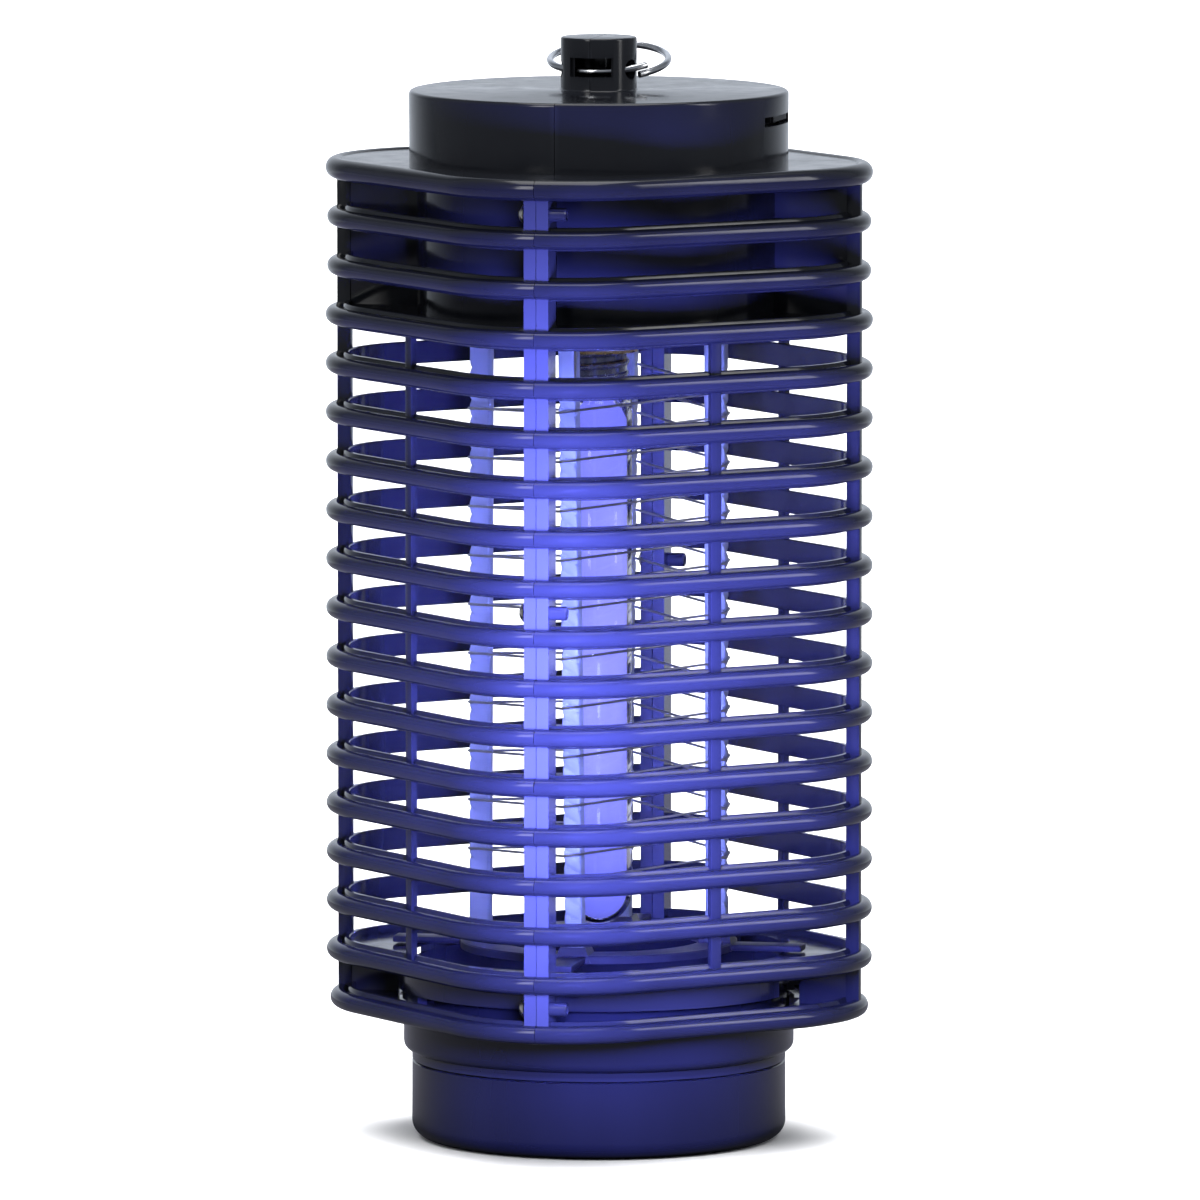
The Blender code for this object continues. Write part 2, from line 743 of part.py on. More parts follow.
def lamp_socket(body, metal):
    """Moulded holder with a brass sleeve for the cap and a centre contact above it."""
    bore, floor = 0.0079, SOCKET_TOP - 0.006
    flange_low, flange_top = UPPER_FRAME_TOP + GAP, UPPER_FRAME_TOP + GAP + 0.002
    holder = [
        (0, SOCKET_TOP),
        (SOCKET_RADIUS - 0.001, SOCKET_TOP),
        (SOCKET_RADIUS, SOCKET_TOP - 0.001),
        (SOCKET_RADIUS, flange_top),
        (0.014, flange_top),
        (0.014, flange_low),
        (SOCKET_RADIUS, flange_low),
        (SOCKET_RADIUS, SOCKET_BOTTOM),
        (bore, SOCKET_BOTTOM),
        (bore, floor),
        (0, floor),
    ]
    turned("lamp_socket", holder, body, steps=20)
    inner, outer = CAP_RADIUS + GAP, bore - GAP
    lip = SOCKET_BOTTOM - GAP
    sleeve = [
        (outer, 0.1985),
        (outer, lip),
        (0.0088, lip),
        (0.0088, lip - 0.0006),
        (inner, lip - 0.0006),
        (inner, 0.1985),
    ]
    turned("socket_sleeve", sleeve, metal, steps=20)
    leaf = [
        (0, floor - GAP),
        (0.001, floor - GAP),
        (0.001, 0.1932),
        (0.0034, 0.1932),
        (0.0034, 0.1925),
        (0, 0.1925),
    ]
    turned("socket_centre_contact", leaf, metal, steps=12)


def circuit_board(finish):
    top = BOARD_Z + BOARD_THICKNESS
    profile = [(0, top), (BOARD_RADIUS, top), (BOARD_RADIUS, BOARD_Z), (0, BOARD_Z)]
    board = turned("circuit_board", profile, finish, steps=32)
    bm = bmesh.new()
    for side in (-1, 1):
        place = side * BOARD_SCREW_X
        add_rod(bm, (place, 0, BOARD_Z - 0.001), (place, 0, top + 0.001), SCREW_HOLE, 8)
    combine(board, "DIFFERENCE", [new_object("holes", bm)])


def board_component(name, middle, size, finish):
    """A moulded block that stands on the board."""
    low = BOARD_Z + BOARD_THICKNESS + GAP
    corner = (middle[0] - size[0] / 2, middle[1] - size[1] / 2, low)
    far = (middle[0] + size[0] / 2, middle[1] + size[1] / 2, low + size[2])
    return block(name, corner, far, finish, bevel=0.0006)


def axial_component(name, middle, length, radius, finish):
    """A round body along X with a bent lead down to the board at each end."""
    foot = BOARD_Z + BOARD_THICKNESS + GAP
    height = foot + radius + 0.001
    lead = 0.0003
    reach = length / 2 + 0.0015
    start = Vector((middle[0] - length / 2, middle[1], height))
    body = rod(name, start, start + Vector((length, 0, 0)), radius, finish, sides=8)
    near, far = middle[1] - lead, middle[1] + lead
    low = (middle[0] - reach, near, height - lead)
    wire = block("wire", low, (middle[0] + reach, far, height + lead))
    legs = bmesh.new()
    slim = 0.9 * lead
    for side in (-1, 1):
        place = middle[0] + side * (reach - lead)
        low = (place - slim, middle[1] - slim, foot)
        add_box(legs, low, (place + slim, middle[1] + slim, height))
    combine(body, "UNION", [wire, new_object("legs", legs)])


def electronics(board, red, black, clear, metal, brown, green):
    """Voltage multiplier, bleed resistors, fuse and lamp choke on one round board."""
    circuit_board(board)
    board_component("lamp_choke", (-0.016, -0.012), (0.018, 0.016, 0.014), metal)
    for index in range(4):
        middle = (0.007, -0.0215 + index * 0.0075)
        board_component(f"film_capacitor_{index + 1}", middle, (0.012, 0.005, 0.0095), red)
        middle = (0.0215, -0.014 + index * 0.0045)
        axial_component(f"rectifier_diode_{index + 1}", middle, 0.005, 0.0013, black)
    for index in range(2):
        middle = (-0.016, 0.0015 + index * 0.0055)
        axial_component(f"bleed_resistor_{index + 1}", middle, 0.008, 0.0015, brown)
    axial_component("fuse", (-0.012, 0.0165), 0.018, 0.0025, clear)
    board_component("terminal_block", (0.009, 0.0215), (0.014, 0.009, 0.010), green)


def leads(red, black):
    """Insulated leads under the board: two to the lamp socket and two to the grid wires."""
    under = BOARD_Z - GAP
    above_socket = SOCKET_TOP + GAP
    for name, side, finish in (("lamp_lead_live", -1, red), ("lamp_lead_neutral", 1, black)):
        x = side * 0.005
        rise = 0.0012
        bow = (x * 1.1, -0.002, (under + above_socket) / 2)
        points = [(x, 0, above_socket), (x, 0, above_socket + rise), bow]
        points += [(x * 1.2, -0.004, under - rise), (x * 1.2, -0.004, under)]
        tube(name, points, 0.0009, finish)
    for name, wire, finish in (
        ("grid_lead_live", "grid_wire_live", red),
        ("grid_lead_return", "grid_wire_return", black),
    ):
        tail = wire_points(WIRE_STARTS[wire])[-1]
        points = []
        steps = 8
        for step in range(steps + 1):
            part = step / steps
            bow = 1 - 0.06 * (1 - math.cos(2 * math.pi * part))
            height = tail.z + GAP + (under - tail.z - GAP) * part
            points.append((tail.x * bow, tail.y * bow, height))
        points.append((tail.x, tail.y, under))
        points[-2] = (tail.x, tail.y, under - 0.0012)
        tube(name, points, 0.0008, finish)


def slide_switch(body, knob):
    """Switch behind the drum's slot, and the recessed knob that slides along Y."""
    low = (0.0300, -0.0070, SLOT_Z - 0.0034)
    block("switch_body", low, (0.0373, 0.0070, SLOT_Z + 0.0034), body, bevel=0.0005)
    half = KNOB_WIDTH / 2
    bm = bmesh.new()
    add_box(bm, (0.0376, -half, -0.0022), (0.0389, half, 0.0022))
    slider = new_object("switch_knob", bm, knob)
    grip = block("grip", (0.0384, -half + 0.0002, -0.00075), (0.0411, half - 0.0002, 0.00075))
    combine(slider, "UNION", [grip])
    slider.data.materials.clear()
    slider.data.materials.append(knob)
    slider.location = (0, KNOB_REST, SLOT_Z)


def cord_inlet(finish):
    """The rubber bush that the supply lead would pass through, gripped by the drum's wall."""
    face, inside = DRUM_RADIUS, DRUM_RADIUS - DRUM_WALL
    bore = 0.0022
    profile = [
        (bore, face + 0.0022),
        (0.0042, face + 0.0022),
        (0.0052, face + 0.0009),
        (0.0052, face + 2 * GAP),
        (INLET_RADIUS, face + 2 * GAP),
        (INLET_RADIUS, inside - 2 * GAP),
        (0.0046, inside - 2 * GAP),
        (0.0046, inside - 0.0018),
        (bore, inside - 0.0018),
    ]
    bush = turned("cord_inlet_bush", profile, finish, steps=16)
    bush.matrix_world = Matrix.Translation((0, 0, INLET_Z)) @ Matrix.Rotation(-math.pi / 2, 4, "X")


def tray_collar(finish):
    """The flanged ring that locks into the cage with two lugs on its neck."""
    round_off = 0.0020
    profile = [
        (NECK_OUTER, NECK_TOP),
        (NECK_OUTER, FLANGE_TOP),
        (FLANGE_RADIUS - 0.0006, FLANGE_TOP),
        (FLANGE_RADIUS, FLANGE_TOP - 0.0006),
        (FLANGE_RADIUS, FLANGE_BOTTOM + 0.0050),
        (FLANGE_RADIUS - 0.0006, FLANGE_BOTTOM + round_off + 0.0016),
        (CUP_RADIUS, FLANGE_BOTTOM + round_off),
        (CUP_RADIUS, FLANGE_BOTTOM),
        (NECK_INNER, FLANGE_BOTTOM),
        (NECK_INNER, NECK_TOP),
    ]
    ring = turned("tray_collar", profile, finish, steps=32)
    bm = bmesh.new()
    for side in (0, math.pi):
        middle = side + LUG_ANGLE
        start, end = middle - LUG_HALF_WIDTH, middle + LUG_HALF_WIDTH
        outline = arc(COLLAR_OUTER - 0.0006, start, end, 3) + arc(NECK_OUTER - 0.0007, end, start, 3)
        add_prism(bm, outline, 0.0321, 0.0338)
    combine(ring, "UNION", [new_object("lugs", bm)])


def tray_cup(finish):
    """The catch cup, whose spigot pushes up into the collar."""
    fillet = arc(CUP_FILLET, 0, -math.pi / 2, 3, (CUP_RADIUS - CUP_FILLET, CUP_FILLET))
    inner_radius = CUP_FILLET - CUP_WALL
    inner_centre = (CUP_RADIUS - CUP_FILLET, CUP_FILLET)
    inside = arc(inner_radius, -math.pi / 2, 0, 2, inner_centre)
    profile = [
        (SPIGOT_OUTER, SPIGOT_TOP),
        (SPIGOT_OUTER, CUP_TOP),
        (CUP_RADIUS - 0.0003, CUP_TOP),
        (CUP_RADIUS, CUP_TOP - 0.0003),
        *fillet,
        (0, 0),
        (0, CUP_WALL),
        *inside,
        (CUP_RADIUS - CUP_WALL, CUP_TOP - 0.003),
        (SPIGOT_INNER, CUP_TOP - 0.001),
        (SPIGOT_INNER, SPIGOT_TOP),
    ]
    turned("tray_cup", profile, finish, steps=32)


def build():
    clear_scene()
    black = material("black_plastic", (0.018, 0.020, 0.023), 0.32)
    tray_black = material("tray_plastic", (0.016, 0.018, 0.026), 0.30)
    white = material("white_plastic", (0.78, 0.79, 0.86), 0.45)
    frame_black = material("frame_plastic", (0.02, 0.02, 0.025), 0.5)
    steel = material("bright_steel", (0.72, 0.73, 0.75), 0.2, metallic=1.0)
    wire = material("grid_wire", (0.55, 0.55, 0.6), 0.3, metallic=1.0)
    brass = material("brass", (0.80, 0.58, 0.25), 0.3, metallic=1.0)
    glass = material("lamp_glass", (0.45, 0.42, 1.0), 0.05, transmission=0.6, glow=1.0)
    ceramic = material("ceramic", (0.75, 0.74, 0.70), 0.5)
    board = material("board_green", (0.05, 0.22, 0.09), 0.5)
    red = material("red_resin", (0.45, 0.06, 0.03), 0.4)
    brown = material("resistor_tan", (0.55, 0.42, 0.25), 0.5)
    rubber = material("black_rubber", (0.02, 0.02, 0.02), 0.7)
    clear = material("clear_glass", (0.8, 0.85, 0.85), 0.1, transmission=0.8)
    green = material("terminal_green", (0.06, 0.35, 0.15), 0.45)

    cage(black)
    seam_screws(steel)
    hanger(steel)
    grid_posts(white)
    grid_wires(wire)
    upper_frame(frame_black)
    lower_frame(frame_black)
    frame_screws(steel)
    lamp(glass, brass, ceramic)
    lamp_socket(ceramic, brass)
    electronics(board, red, frame_black, clear, steel, brown, green)
    leads(red, frame_black)
    slide_switch(frame_black, black)
    cord_inlet(rubber)
    tray_collar(tray_black)
    tray_cup(tray_black)


build()
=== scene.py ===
"""Lantern bug zapper: detailed pieces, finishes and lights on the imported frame."""

import json
import math

import bmesh
import bpy
from mathutils import Matrix, Vector

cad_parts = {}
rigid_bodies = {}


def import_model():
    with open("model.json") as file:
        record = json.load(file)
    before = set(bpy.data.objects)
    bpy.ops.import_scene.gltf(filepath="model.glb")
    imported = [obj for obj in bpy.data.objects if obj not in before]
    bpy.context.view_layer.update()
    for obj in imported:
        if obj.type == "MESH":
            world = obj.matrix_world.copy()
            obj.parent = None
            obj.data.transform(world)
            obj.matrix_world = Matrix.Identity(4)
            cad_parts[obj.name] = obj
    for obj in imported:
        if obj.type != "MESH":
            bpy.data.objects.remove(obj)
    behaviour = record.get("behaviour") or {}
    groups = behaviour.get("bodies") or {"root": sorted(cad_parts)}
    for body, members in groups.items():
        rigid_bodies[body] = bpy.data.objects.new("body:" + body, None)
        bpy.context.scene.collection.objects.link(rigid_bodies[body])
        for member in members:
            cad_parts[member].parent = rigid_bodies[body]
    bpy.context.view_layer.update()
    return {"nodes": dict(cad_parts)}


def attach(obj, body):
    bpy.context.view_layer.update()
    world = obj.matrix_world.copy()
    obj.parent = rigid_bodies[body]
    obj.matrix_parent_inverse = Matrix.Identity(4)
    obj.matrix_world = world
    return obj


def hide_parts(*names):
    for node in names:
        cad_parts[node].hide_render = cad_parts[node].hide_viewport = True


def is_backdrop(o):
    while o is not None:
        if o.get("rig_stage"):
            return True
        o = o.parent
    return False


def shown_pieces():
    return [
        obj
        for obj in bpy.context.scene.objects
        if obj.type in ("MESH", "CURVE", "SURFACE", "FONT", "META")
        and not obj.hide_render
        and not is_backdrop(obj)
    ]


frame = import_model()

GAP = 0.0003
HALF_GAP = 0.00007
TAU = 2 * math.pi

# Cage
RING_COUNT = 18
RING_PITCH = 0.01113
TOP_RING_Z = 0.220
OPEN_RING = 3
SQUARE_HALF = 0.0517
CORNER_RADIUS = 0.030
CORNER_CENTRE = (SQUARE_HALF - CORNER_RADIUS) * math.sqrt(2)
CORNER_REACH = CORNER_CENTRE + CORNER_RADIUS
ARC_STEPS = 10
BEAD_RADIUS = 0.00205
BAND_OUTER = 0.0021  # the upright band behind the bead, from the bead's centre line inwards
BAND_INNER = 0.0033
BAND_HALF_HEIGHT = 0.0026
BAND_ROUND = 0.0002
BAR_WIDTH = 0.0027
FLAT_BAR_INSET = 0.0014
FLAT_BAR_DEPTH = 0.0016
CORNER_BAR_DEPTH = 0.0032
SEAM_BAR_WIDTH = 0.0028
SEAM_BAR_INNER = 0.053
PLATE = 0.0017
HEIGHT = 0.250
DRUM_RADIUS = 0.0429
DRUM_TOP = 0.238
DRUM_WALL = 0.0018
PEG_RADIUS = 0.0086
PEG_WALL = 0.0016
HOUSING_RADIUS = 0.0410
HOUSING_WALL = 0.0018
HOUSING_BOTTOM = 0.1866
FLOOR_Z = 0.0411
FLOOR_HOLE = 0.0430
COLLAR_OUTER = 0.0456
COLLAR_BOTTOM = 0.0342
COLLAR_NOTCH = math.radians(13.4)
BASE_PLATE_Z = 0.0299
BASE_HOLE = 0.0432
LUG_NOTCH = math.radians(10.5)
SCREW_Y = 0.058
SCREW_TIERS = (0, 8, 16)
BOSS_RADIUS = 0.0016
BOSS_END = 0.0066

# Hanger
HANGER_RADIUS = 0.01335
HANGER_WIRE = 0.0008
HANGER_TILT = math.radians(11.4)
HANGER_CENTRE = Vector((0.0004, 0.0084, 0.2444))
HANGER_AXIS = Vector((0.0, -0.0025, 0.24285))
HANGER_LIFT = 0.0018
HANGER_HOLE = 0.00225

# Grid
POST_RADIUS = 0.0273
POST_DEPTH = 0.0048
POST_WIDTH = 0.0040
POST_BOTTOM = 0.0439
POST_TOP = 0.1837
TWIST_TOP = math.radians(-0.9)
TWIST_BOTTOM = math.radians(2.3)
WIRE_RADIUS = 0.0003
WIRE_PITCH = 0.01113
WIRE_BOTTOM = 0.062
WIRE_TURNS = 10
UPPER_FRAME_TOP = 0.1870
LOWER_FRAME_Z = 0.0431
POST_NAMES = ("right", "back", "left", "front")
NOTCH_LOW = 0.0530
NOTCH_HIGH = 0.1752
NOTCH_PITCH = RING_PITCH / 3
NOTCH_DEPTH = 0.0008
NOTCH_SLANT = 0.6

# Lamp
TUBE_RADIUS = 0.0075
TUBE_BOTTOM = 0.0483
TUBE_SHOULDER = 0.1685
CAP_RADIUS = 0.00695
CAP_BOTTOM = 0.171
CAP_TOP = 0.188
SOCKET_RADIUS = 0.0108
SOCKET_BOTTOM = 0.1796
SOCKET_TOP = 0.206

# Switch and tray
SLOT_Z = 0.2321
KNOB_REST = 0.0035
INLET_Z = 0.2295
FLANGE_RADIUS = 0.0443
FLANGE_BOTTOM = 0.0179
FLANGE_TOP = 0.0283
NECK_OUTER = 0.0427
NECK_INNER = 0.0414
NECK_TOP = 0.0400
LUG_ANGLE = math.radians(30.0)
LUG_HALF = math.radians(8.0)
CUP_RADIUS = 0.0424
CUP_TOP = 0.0176
CUP_WALL = 0.0018
CUP_FILLET = 0.0038
SPIGOT_OUTER = 0.0411
SPIGOT_INNER = 0.0396
SPIGOT_TOP = 0.0300


# ---------------------------------------------------------------- materials


class Nodes:
    """Small helper that wires a node tree."""

    def __init__(self, name):
        self.material = bpy.data.materials.new(name)
        self.material.use_nodes = True
        self.tree = self.material.node_tree
        self.shader = self.tree.nodes["Principled BSDF"]
        self.coords = self.tree.nodes.new("ShaderNodeTexCoord").outputs["Object"]

    def add(self, kind, settings=None, **inputs):
        node = self.tree.nodes.new(kind)
        for key, value in (settings or {}).items():
            setattr(node, key, value)
        for key, value in inputs.items():
            socket = node.inputs[key.replace("_", " ")]
            if isinstance(value, bpy.types.NodeSocket):
                self.tree.links.new(value, socket)
            else:
                socket.default_value = value
        return node

    def noise(self, scale, detail=3.0, roughness=0.5, stretch=None):
        place = self.coords
        if stretch:
            place = self.add("ShaderNodeMapping", Vector=place, Scale=stretch).outputs[0]
        node = self.add(
            "ShaderNodeTexNoise", Vector=place, Scale=scale, Detail=detail, Roughness=roughness
        )
        return node.outputs["Fac"]

    def span(self, value, low, high, start=0.35, end=0.65):
        """A noise value stretched onto a range."""
        node = self.add("ShaderNodeMapRange", Value=value)
        for index, number in ((1, start), (2, end), (3, low), (4, high)):
            node.inputs[index].default_value = number
        return node.outputs[0]

    def between(self, factor, first, second):
        """A colour between two."""
        node = self.add("ShaderNodeMix", {"data_type": "RGBA"})
        self.tree.links.new(factor, node.inputs[0])
        for socket, value in ((node.inputs[6], first), (node.inputs[7], second)):
            if isinstance(value, bpy.types.NodeSocket):
                self.tree.links.new(value, socket)
            else:
                socket.default_value = (*value, 1.0)
        return node.outputs[2]

    def bump(self, height, strength, distance, below=None):
        node = self.add("ShaderNodeBump", Height=height, Strength=strength, Distance=distance)
        if below:
            self.tree.links.new(below, node.inputs["Normal"])
        return node.outputs[0]

    def edges(self, start=0.57, end=0.68):
        """1 on worn outer edges, 0 elsewhere."""
        pointiness = self.add("ShaderNodeNewGeometry").outputs["Pointiness"]
        return self.span(pointiness, 0.0, 1.0, start, end)

    def finish(self, **inputs):
        for key, value in inputs.items():
            socket = self.shader.inputs[key.replace("_", " ")]
            if isinstance(value, bpy.types.NodeSocket):
                self.tree.links.new(value, socket)
            elif isinstance(value, tuple) and len(value) == 3:
                socket.default_value = (*value, 1.0)
            else:
                socket.default_value = value
        return self.material


def glossy_plastic(name, dark, light, rough_low, rough_high, wave=0.00008):
    """Injection-moulded plastic: slight flow marks, fine grain, paler rubbed edges."""
    made = Nodes(name)
    flow = made.noise(34.0, 2.0, 0.4, (1.0, 1.0, 0.3))
    grain = made.noise(1100.0, 2.0)
    smear = made.noise(160.0, 4.0, 0.6)
    body = made.between(made.span(flow, 0.0, 1.0), dark, light)
    rubbed = made.between(made.edges(), body, tuple(2.2 * a + 0.01 for a in light))
    rough = made.span(smear, rough_low, rough_high)
    waves = made.bump(flow, 0.4, wave)
    fine = made.bump(grain, 0.05, 0.00002, waves)
    return made.finish(
        Base_Color=rubbed, Roughness=rough, Normal=fine, IOR=1.5, Specular_IOR_Level=0.42
    )


def matt_plastic(name, dark, light, rough, grain_scale=1800.0, bump=0.25):
    made = Nodes(name)
    cloud = made.noise(90.0, 3.0)
    grain = made.noise(grain_scale, 3.0)
    colour = made.between(made.span(cloud, 0.0, 1.0), dark, light)
    normal = made.bump(grain, bump, 0.00005)
    return made.finish(
        Base_Color=colour, Roughness=made.span(cloud, rough, rough + 0.12), Normal=normal
    )


def metal(name, dark, light, rough_low, rough_high, scale=500.0, stretch=(1.0, 1.0, 0.15)):
    """Plated metal with drawn streaks and soft tarnish."""
    made = Nodes(name)
    streak = made.noise(scale, 4.0, 0.6, stretch)
    tarnish = made.noise(120.0, 3.0)
    colour = made.between(made.span(tarnish, 0.0, 1.0), dark, light)
    rough = made.span(streak, rough_low, rough_high)
    normal = made.bump(streak, 0.12, 0.00003)
    return made.finish(Base_Color=colour, Roughness=rough, Normal=normal, Metallic=1.0)


def posts_white_painted_violet_light(name):
    """White plastic, with the lamp's violet light painted into its base colour as a lavender tint."""
    made = Nodes(name)
    cloud = made.noise(120.0, 3.0)
    grain = made.noise(2200.0, 3.0)
    # painted light: the lavender base colour stands in for the lamp's violet light on white plastic
    colour = made.between(made.span(cloud, 0.0, 1.0), (0.44, 0.48, 0.66), (0.54, 0.58, 0.78))
    return made.finish(
        Base_Color=colour, Roughness=made.span(cloud, 0.34, 0.46), Normal=made.bump(grain, 0.1, 0.00003)
    )


def lamp_glow(name):
    """Phosphor coating, a little uneven, that glows violet and is whiter at mid height."""
    made = Nodes(name)
    cloud = made.noise(70.0, 3.0, 0.5, (1.0, 1.0, 0.3))
    speck = made.noise(900.0, 2.0)
    height = made.add("ShaderNodeSeparateXYZ", Vector=made.coords).outputs["Z"]
    lower, upper = made.span(height, 0.0, 1.0, 0.056, 0.085), made.span(height, 1.0, 0.0, 0.135, 0.163)
    middle = made.add("ShaderNodeMath", {"operation": "MULTIPLY"})
    made.tree.links.new(lower, middle.inputs[0])
    made.tree.links.new(upper, middle.inputs[1])
    edge = made.between(made.span(cloud, 0.0, 1.0), (0.16, 0.18, 0.88), (0.20, 0.22, 0.98))
    core = made.between(made.span(cloud, 0.0, 1.0), (0.24, 0.26, 1.0), (0.34, 0.36, 1.0))
    colour = made.between(middle.outputs[0], edge, core)
    return made.finish(
        Base_Color=(0.25, 0.25, 0.5),
        Roughness=made.span(speck, 0.5, 0.65),
        Emission_Color=colour,
        Emission_Strength=1.0,
    )


def clear_glass(name, tint):
    made = Nodes(name)
    cloud = made.noise(60.0, 2.0)
    return made.finish(
        Base_Color=made.between(made.span(cloud, 0.0, 1.0), tint, (0.97, 0.97, 1.0)),
        Roughness=made.span(cloud, 0.01, 0.05),
        Transmission_Weight=1.0,
        IOR=1.47,
        Normal=made.bump(cloud, 0.1, 0.0001),
    )


def board_green(name):
    """Green board with paler copper tracks showing through the lacquer."""
    made = Nodes(name)
    bricks = made.add(
        "ShaderNodeTexBrick", Vector=made.coords, Scale=90.0, Mortar_Size=0.03
    ).outputs["Fac"]
    speck = made.noise(700.0, 2.0)
    colour = made.between(bricks, (0.02, 0.16, 0.06), (0.05, 0.28, 0.10))
    return made.finish(
        Base_Color=colour, Roughness=made.span(speck, 0.28, 0.45), Normal=made.bump(bricks, 0.3, 0.00005)
    )


BLACK = glossy_plastic("black_abs", (0.0110, 0.0120, 0.0160), (0.0155, 0.0170, 0.0225), 0.10, 0.19)
TRAY_BLACK = glossy_plastic("tray_abs", (0.0095, 0.0105, 0.0165), (0.0135, 0.0150, 0.0235), 0.11, 0.20)
KNOB_BLACK = glossy_plastic("knob_abs", (0.012, 0.013, 0.016), (0.02, 0.021, 0.025), 0.30, 0.42)
FRAME_BLACK = matt_plastic("frame_nylon", (0.012, 0.013, 0.018), (0.022, 0.023, 0.030), 0.36)
POST_PAINTED_VIOLET_LIGHT = posts_white_painted_violet_light("post_white_painted_violet_light")
CERAMIC = matt_plastic("socket_white", (0.68, 0.66, 0.60), (0.78, 0.76, 0.70), 0.38, 1400.0, 0.15)
VITRITE = matt_plastic("insulator_dark", (0.012, 0.011, 0.014), (0.03, 0.028, 0.03), 0.2)
# Nickel grey, with the lamp's violet light painted in as a blue tint.
NICKEL_PAINTED_VIOLET = metal("thread_nickel_painted_violet", (0.20, 0.21, 0.30), (0.55, 0.56, 0.66), 0.14, 0.30)
BRASS = metal("brass_cap", (0.60, 0.40, 0.13), (0.86, 0.62, 0.26), 0.20, 0.34)
SOLDER = metal("solder", (0.50, 0.50, 0.52), (0.72, 0.72, 0.74), 0.25, 0.45)
STEEL = metal("plated_steel", (0.55, 0.56, 0.58), (0.82, 0.83, 0.86), 0.12, 0.24)
SCREW = metal("screw_plate", (0.62, 0.60, 0.52), (0.88, 0.86, 0.80), 0.20, 0.34)
WIRE = metal("grid_wire_steel", (0.60, 0.60, 0.70), (0.78, 0.78, 0.88), 0.30, 0.42)
GLOW = lamp_glow("phosphor")
GLASS = clear_glass("lamp_envelope", (0.90, 0.88, 1.0))
FUSE_GLASS = clear_glass("fuse_glass", (0.90, 0.94, 0.94))
BOARD = board_green("board_lacquer")
CHOKE = metal("choke_steel", (0.30, 0.31, 0.34), (0.48, 0.49, 0.52), 0.30, 0.45)
FILM_RED = matt_plastic("film_resin", (0.36, 0.035, 0.02), (0.50, 0.06, 0.03), 0.25)
DIODE = matt_plastic("diode_epoxy", (0.012, 0.012, 0.013), (0.03, 0.03, 0.032), 0.3)
RESISTOR = matt_plastic("resistor_lacquer", (0.42, 0.30, 0.15), (0.58, 0.44, 0.25), 0.35)
TERMINAL = matt_plastic("terminal_nylon", (0.03, 0.26, 0.10), (0.06, 0.36, 0.15), 0.35)
RUBBER = matt_plastic("inlet_rubber", (0.010, 0.010, 0.011), (0.02, 0.02, 0.021), 0.6)
LEAD_RED = matt_plastic("lead_red_pvc", (0.40, 0.02, 0.015), (0.52, 0.04, 0.03), 0.35)
LEAD_BLACK = matt_plastic("lead_black_pvc", (0.010, 0.010, 0.011), (0.02, 0.02, 0.022), 0.35)


# ---------------------------------------------------------------- mesh helpers


def to_object(name, bm, finish, sharp=32.0):
    bmesh.ops.remove_doubles(bm, verts=bm.verts, dist=1e-7)
    bmesh.ops.recalc_face_normals(bm, faces=bm.faces)
    mesh = bpy.data.meshes.new(name)
    bm.to_mesh(mesh)
    bm.free()
    mesh.shade_smooth()
    mesh.set_sharp_from_angle(angle=math.radians(sharp))
    mesh.materials.append(finish)
    obj = bpy.data.objects.new(name, mesh)
    bpy.context.collection.objects.link(obj)
    return obj


def place(obj, body, slot, *nodes):
    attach(obj, body)
    if nodes:
        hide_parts(*nodes)
    return obj


def arc(radius, start, end, steps, centre=(0.0, 0.0)):
    angles = [start + (end - start) * step / steps for step in range(steps + 1)]
    return [(centre[0] + radius * math.cos(a), centre[1] + radius * math.sin(a)) for a in angles]


def add_turned(bm, profile, steps=96, sweep=TAU, start=0.0):
    """A (radius, height) outline turned about Z, closed on itself or from axis to axis."""
    verts = [
        bm.verts.new((radius * math.cos(start), radius * math.sin(start), height))
        for radius, height in profile
    ]
    pairs = list(zip(verts, verts[1:] + verts[:1]))
    heads = [radius for radius, _ in profile]
    edges = [
        bm.edges.new(pair)
        for pair, a, b in zip(pairs, heads, heads[1:] + heads[:1])
        if a + b > 0
    ]
    bmesh.ops.spin(
        bm, geom=verts + edges, axis=(0, 0, 1), angle=sweep, steps=steps, use_merge=sweep == TAU
    )


def turned(name, profile, finish, steps=96):
    bm = bmesh.new()
    add_turned(bm, profile, steps)
    return to_object(name, bm, finish)


def add_box(bm, low, high, turn=0.0, bevel=0.0):
    size = Vector(high) - Vector(low)
    middle = (Vector(high) + Vector(low)) / 2
    matrix = Matrix.Rotation(turn, 4, "Z") @ Matrix.Translation(middle) @ Matrix.Diagonal((*size, 1))
    made = bmesh.ops.create_cube(bm, size=1, matrix=matrix)["verts"]
    if bevel:
        edges = list({edge for vert in made for edge in vert.link_edges})
        bmesh.ops.bevel(
            bm, geom=edges, offset=bevel, segments=2, profile=0.6, affect="EDGES", clamp_overlap=True
        )


def add_rod(bm, start, end, radius, sides=32):
    start, end = Vector(start), Vector(end)
    along = end - start
    turn = along.to_track_quat("Z", "Y").to_matrix().to_4x4()
    bmesh.ops.create_cone(
        bm,
        cap_ends=True,
        segments=sides,
        radius1=radius,
        radius2=radius,
        depth=along.length,
        matrix=Matrix.Translation((start + end) / 2) @ turn,
    )


def add_prism(bm, outline, low, high, bevel=0.0):
    face = bm.faces.new([bm.verts.new((x, y, low)) for x, y in outline])
    grown = bmesh.ops.extrude_face_region(bm, geom=[face])["geom"]
    moved = [item for item in grown if isinstance(item, bmesh.types.BMVert)]
    bmesh.ops.translate(bm, verts=moved, vec=(0, 0, high - low))
    if bevel:
        rims = [
            edge
            for edge in bm.edges
            if len(edge.link_faces) == 2
            and edge.calc_face_angle(0) > 1.0
            and abs(edge.verts[0].co.z - edge.verts[1].co.z) < 1e-7
            and (edge.verts[0] in moved)
        ]
        bmesh.ops.bevel(bm, geom=rims, offset=bevel, segments=2, affect="EDGES")


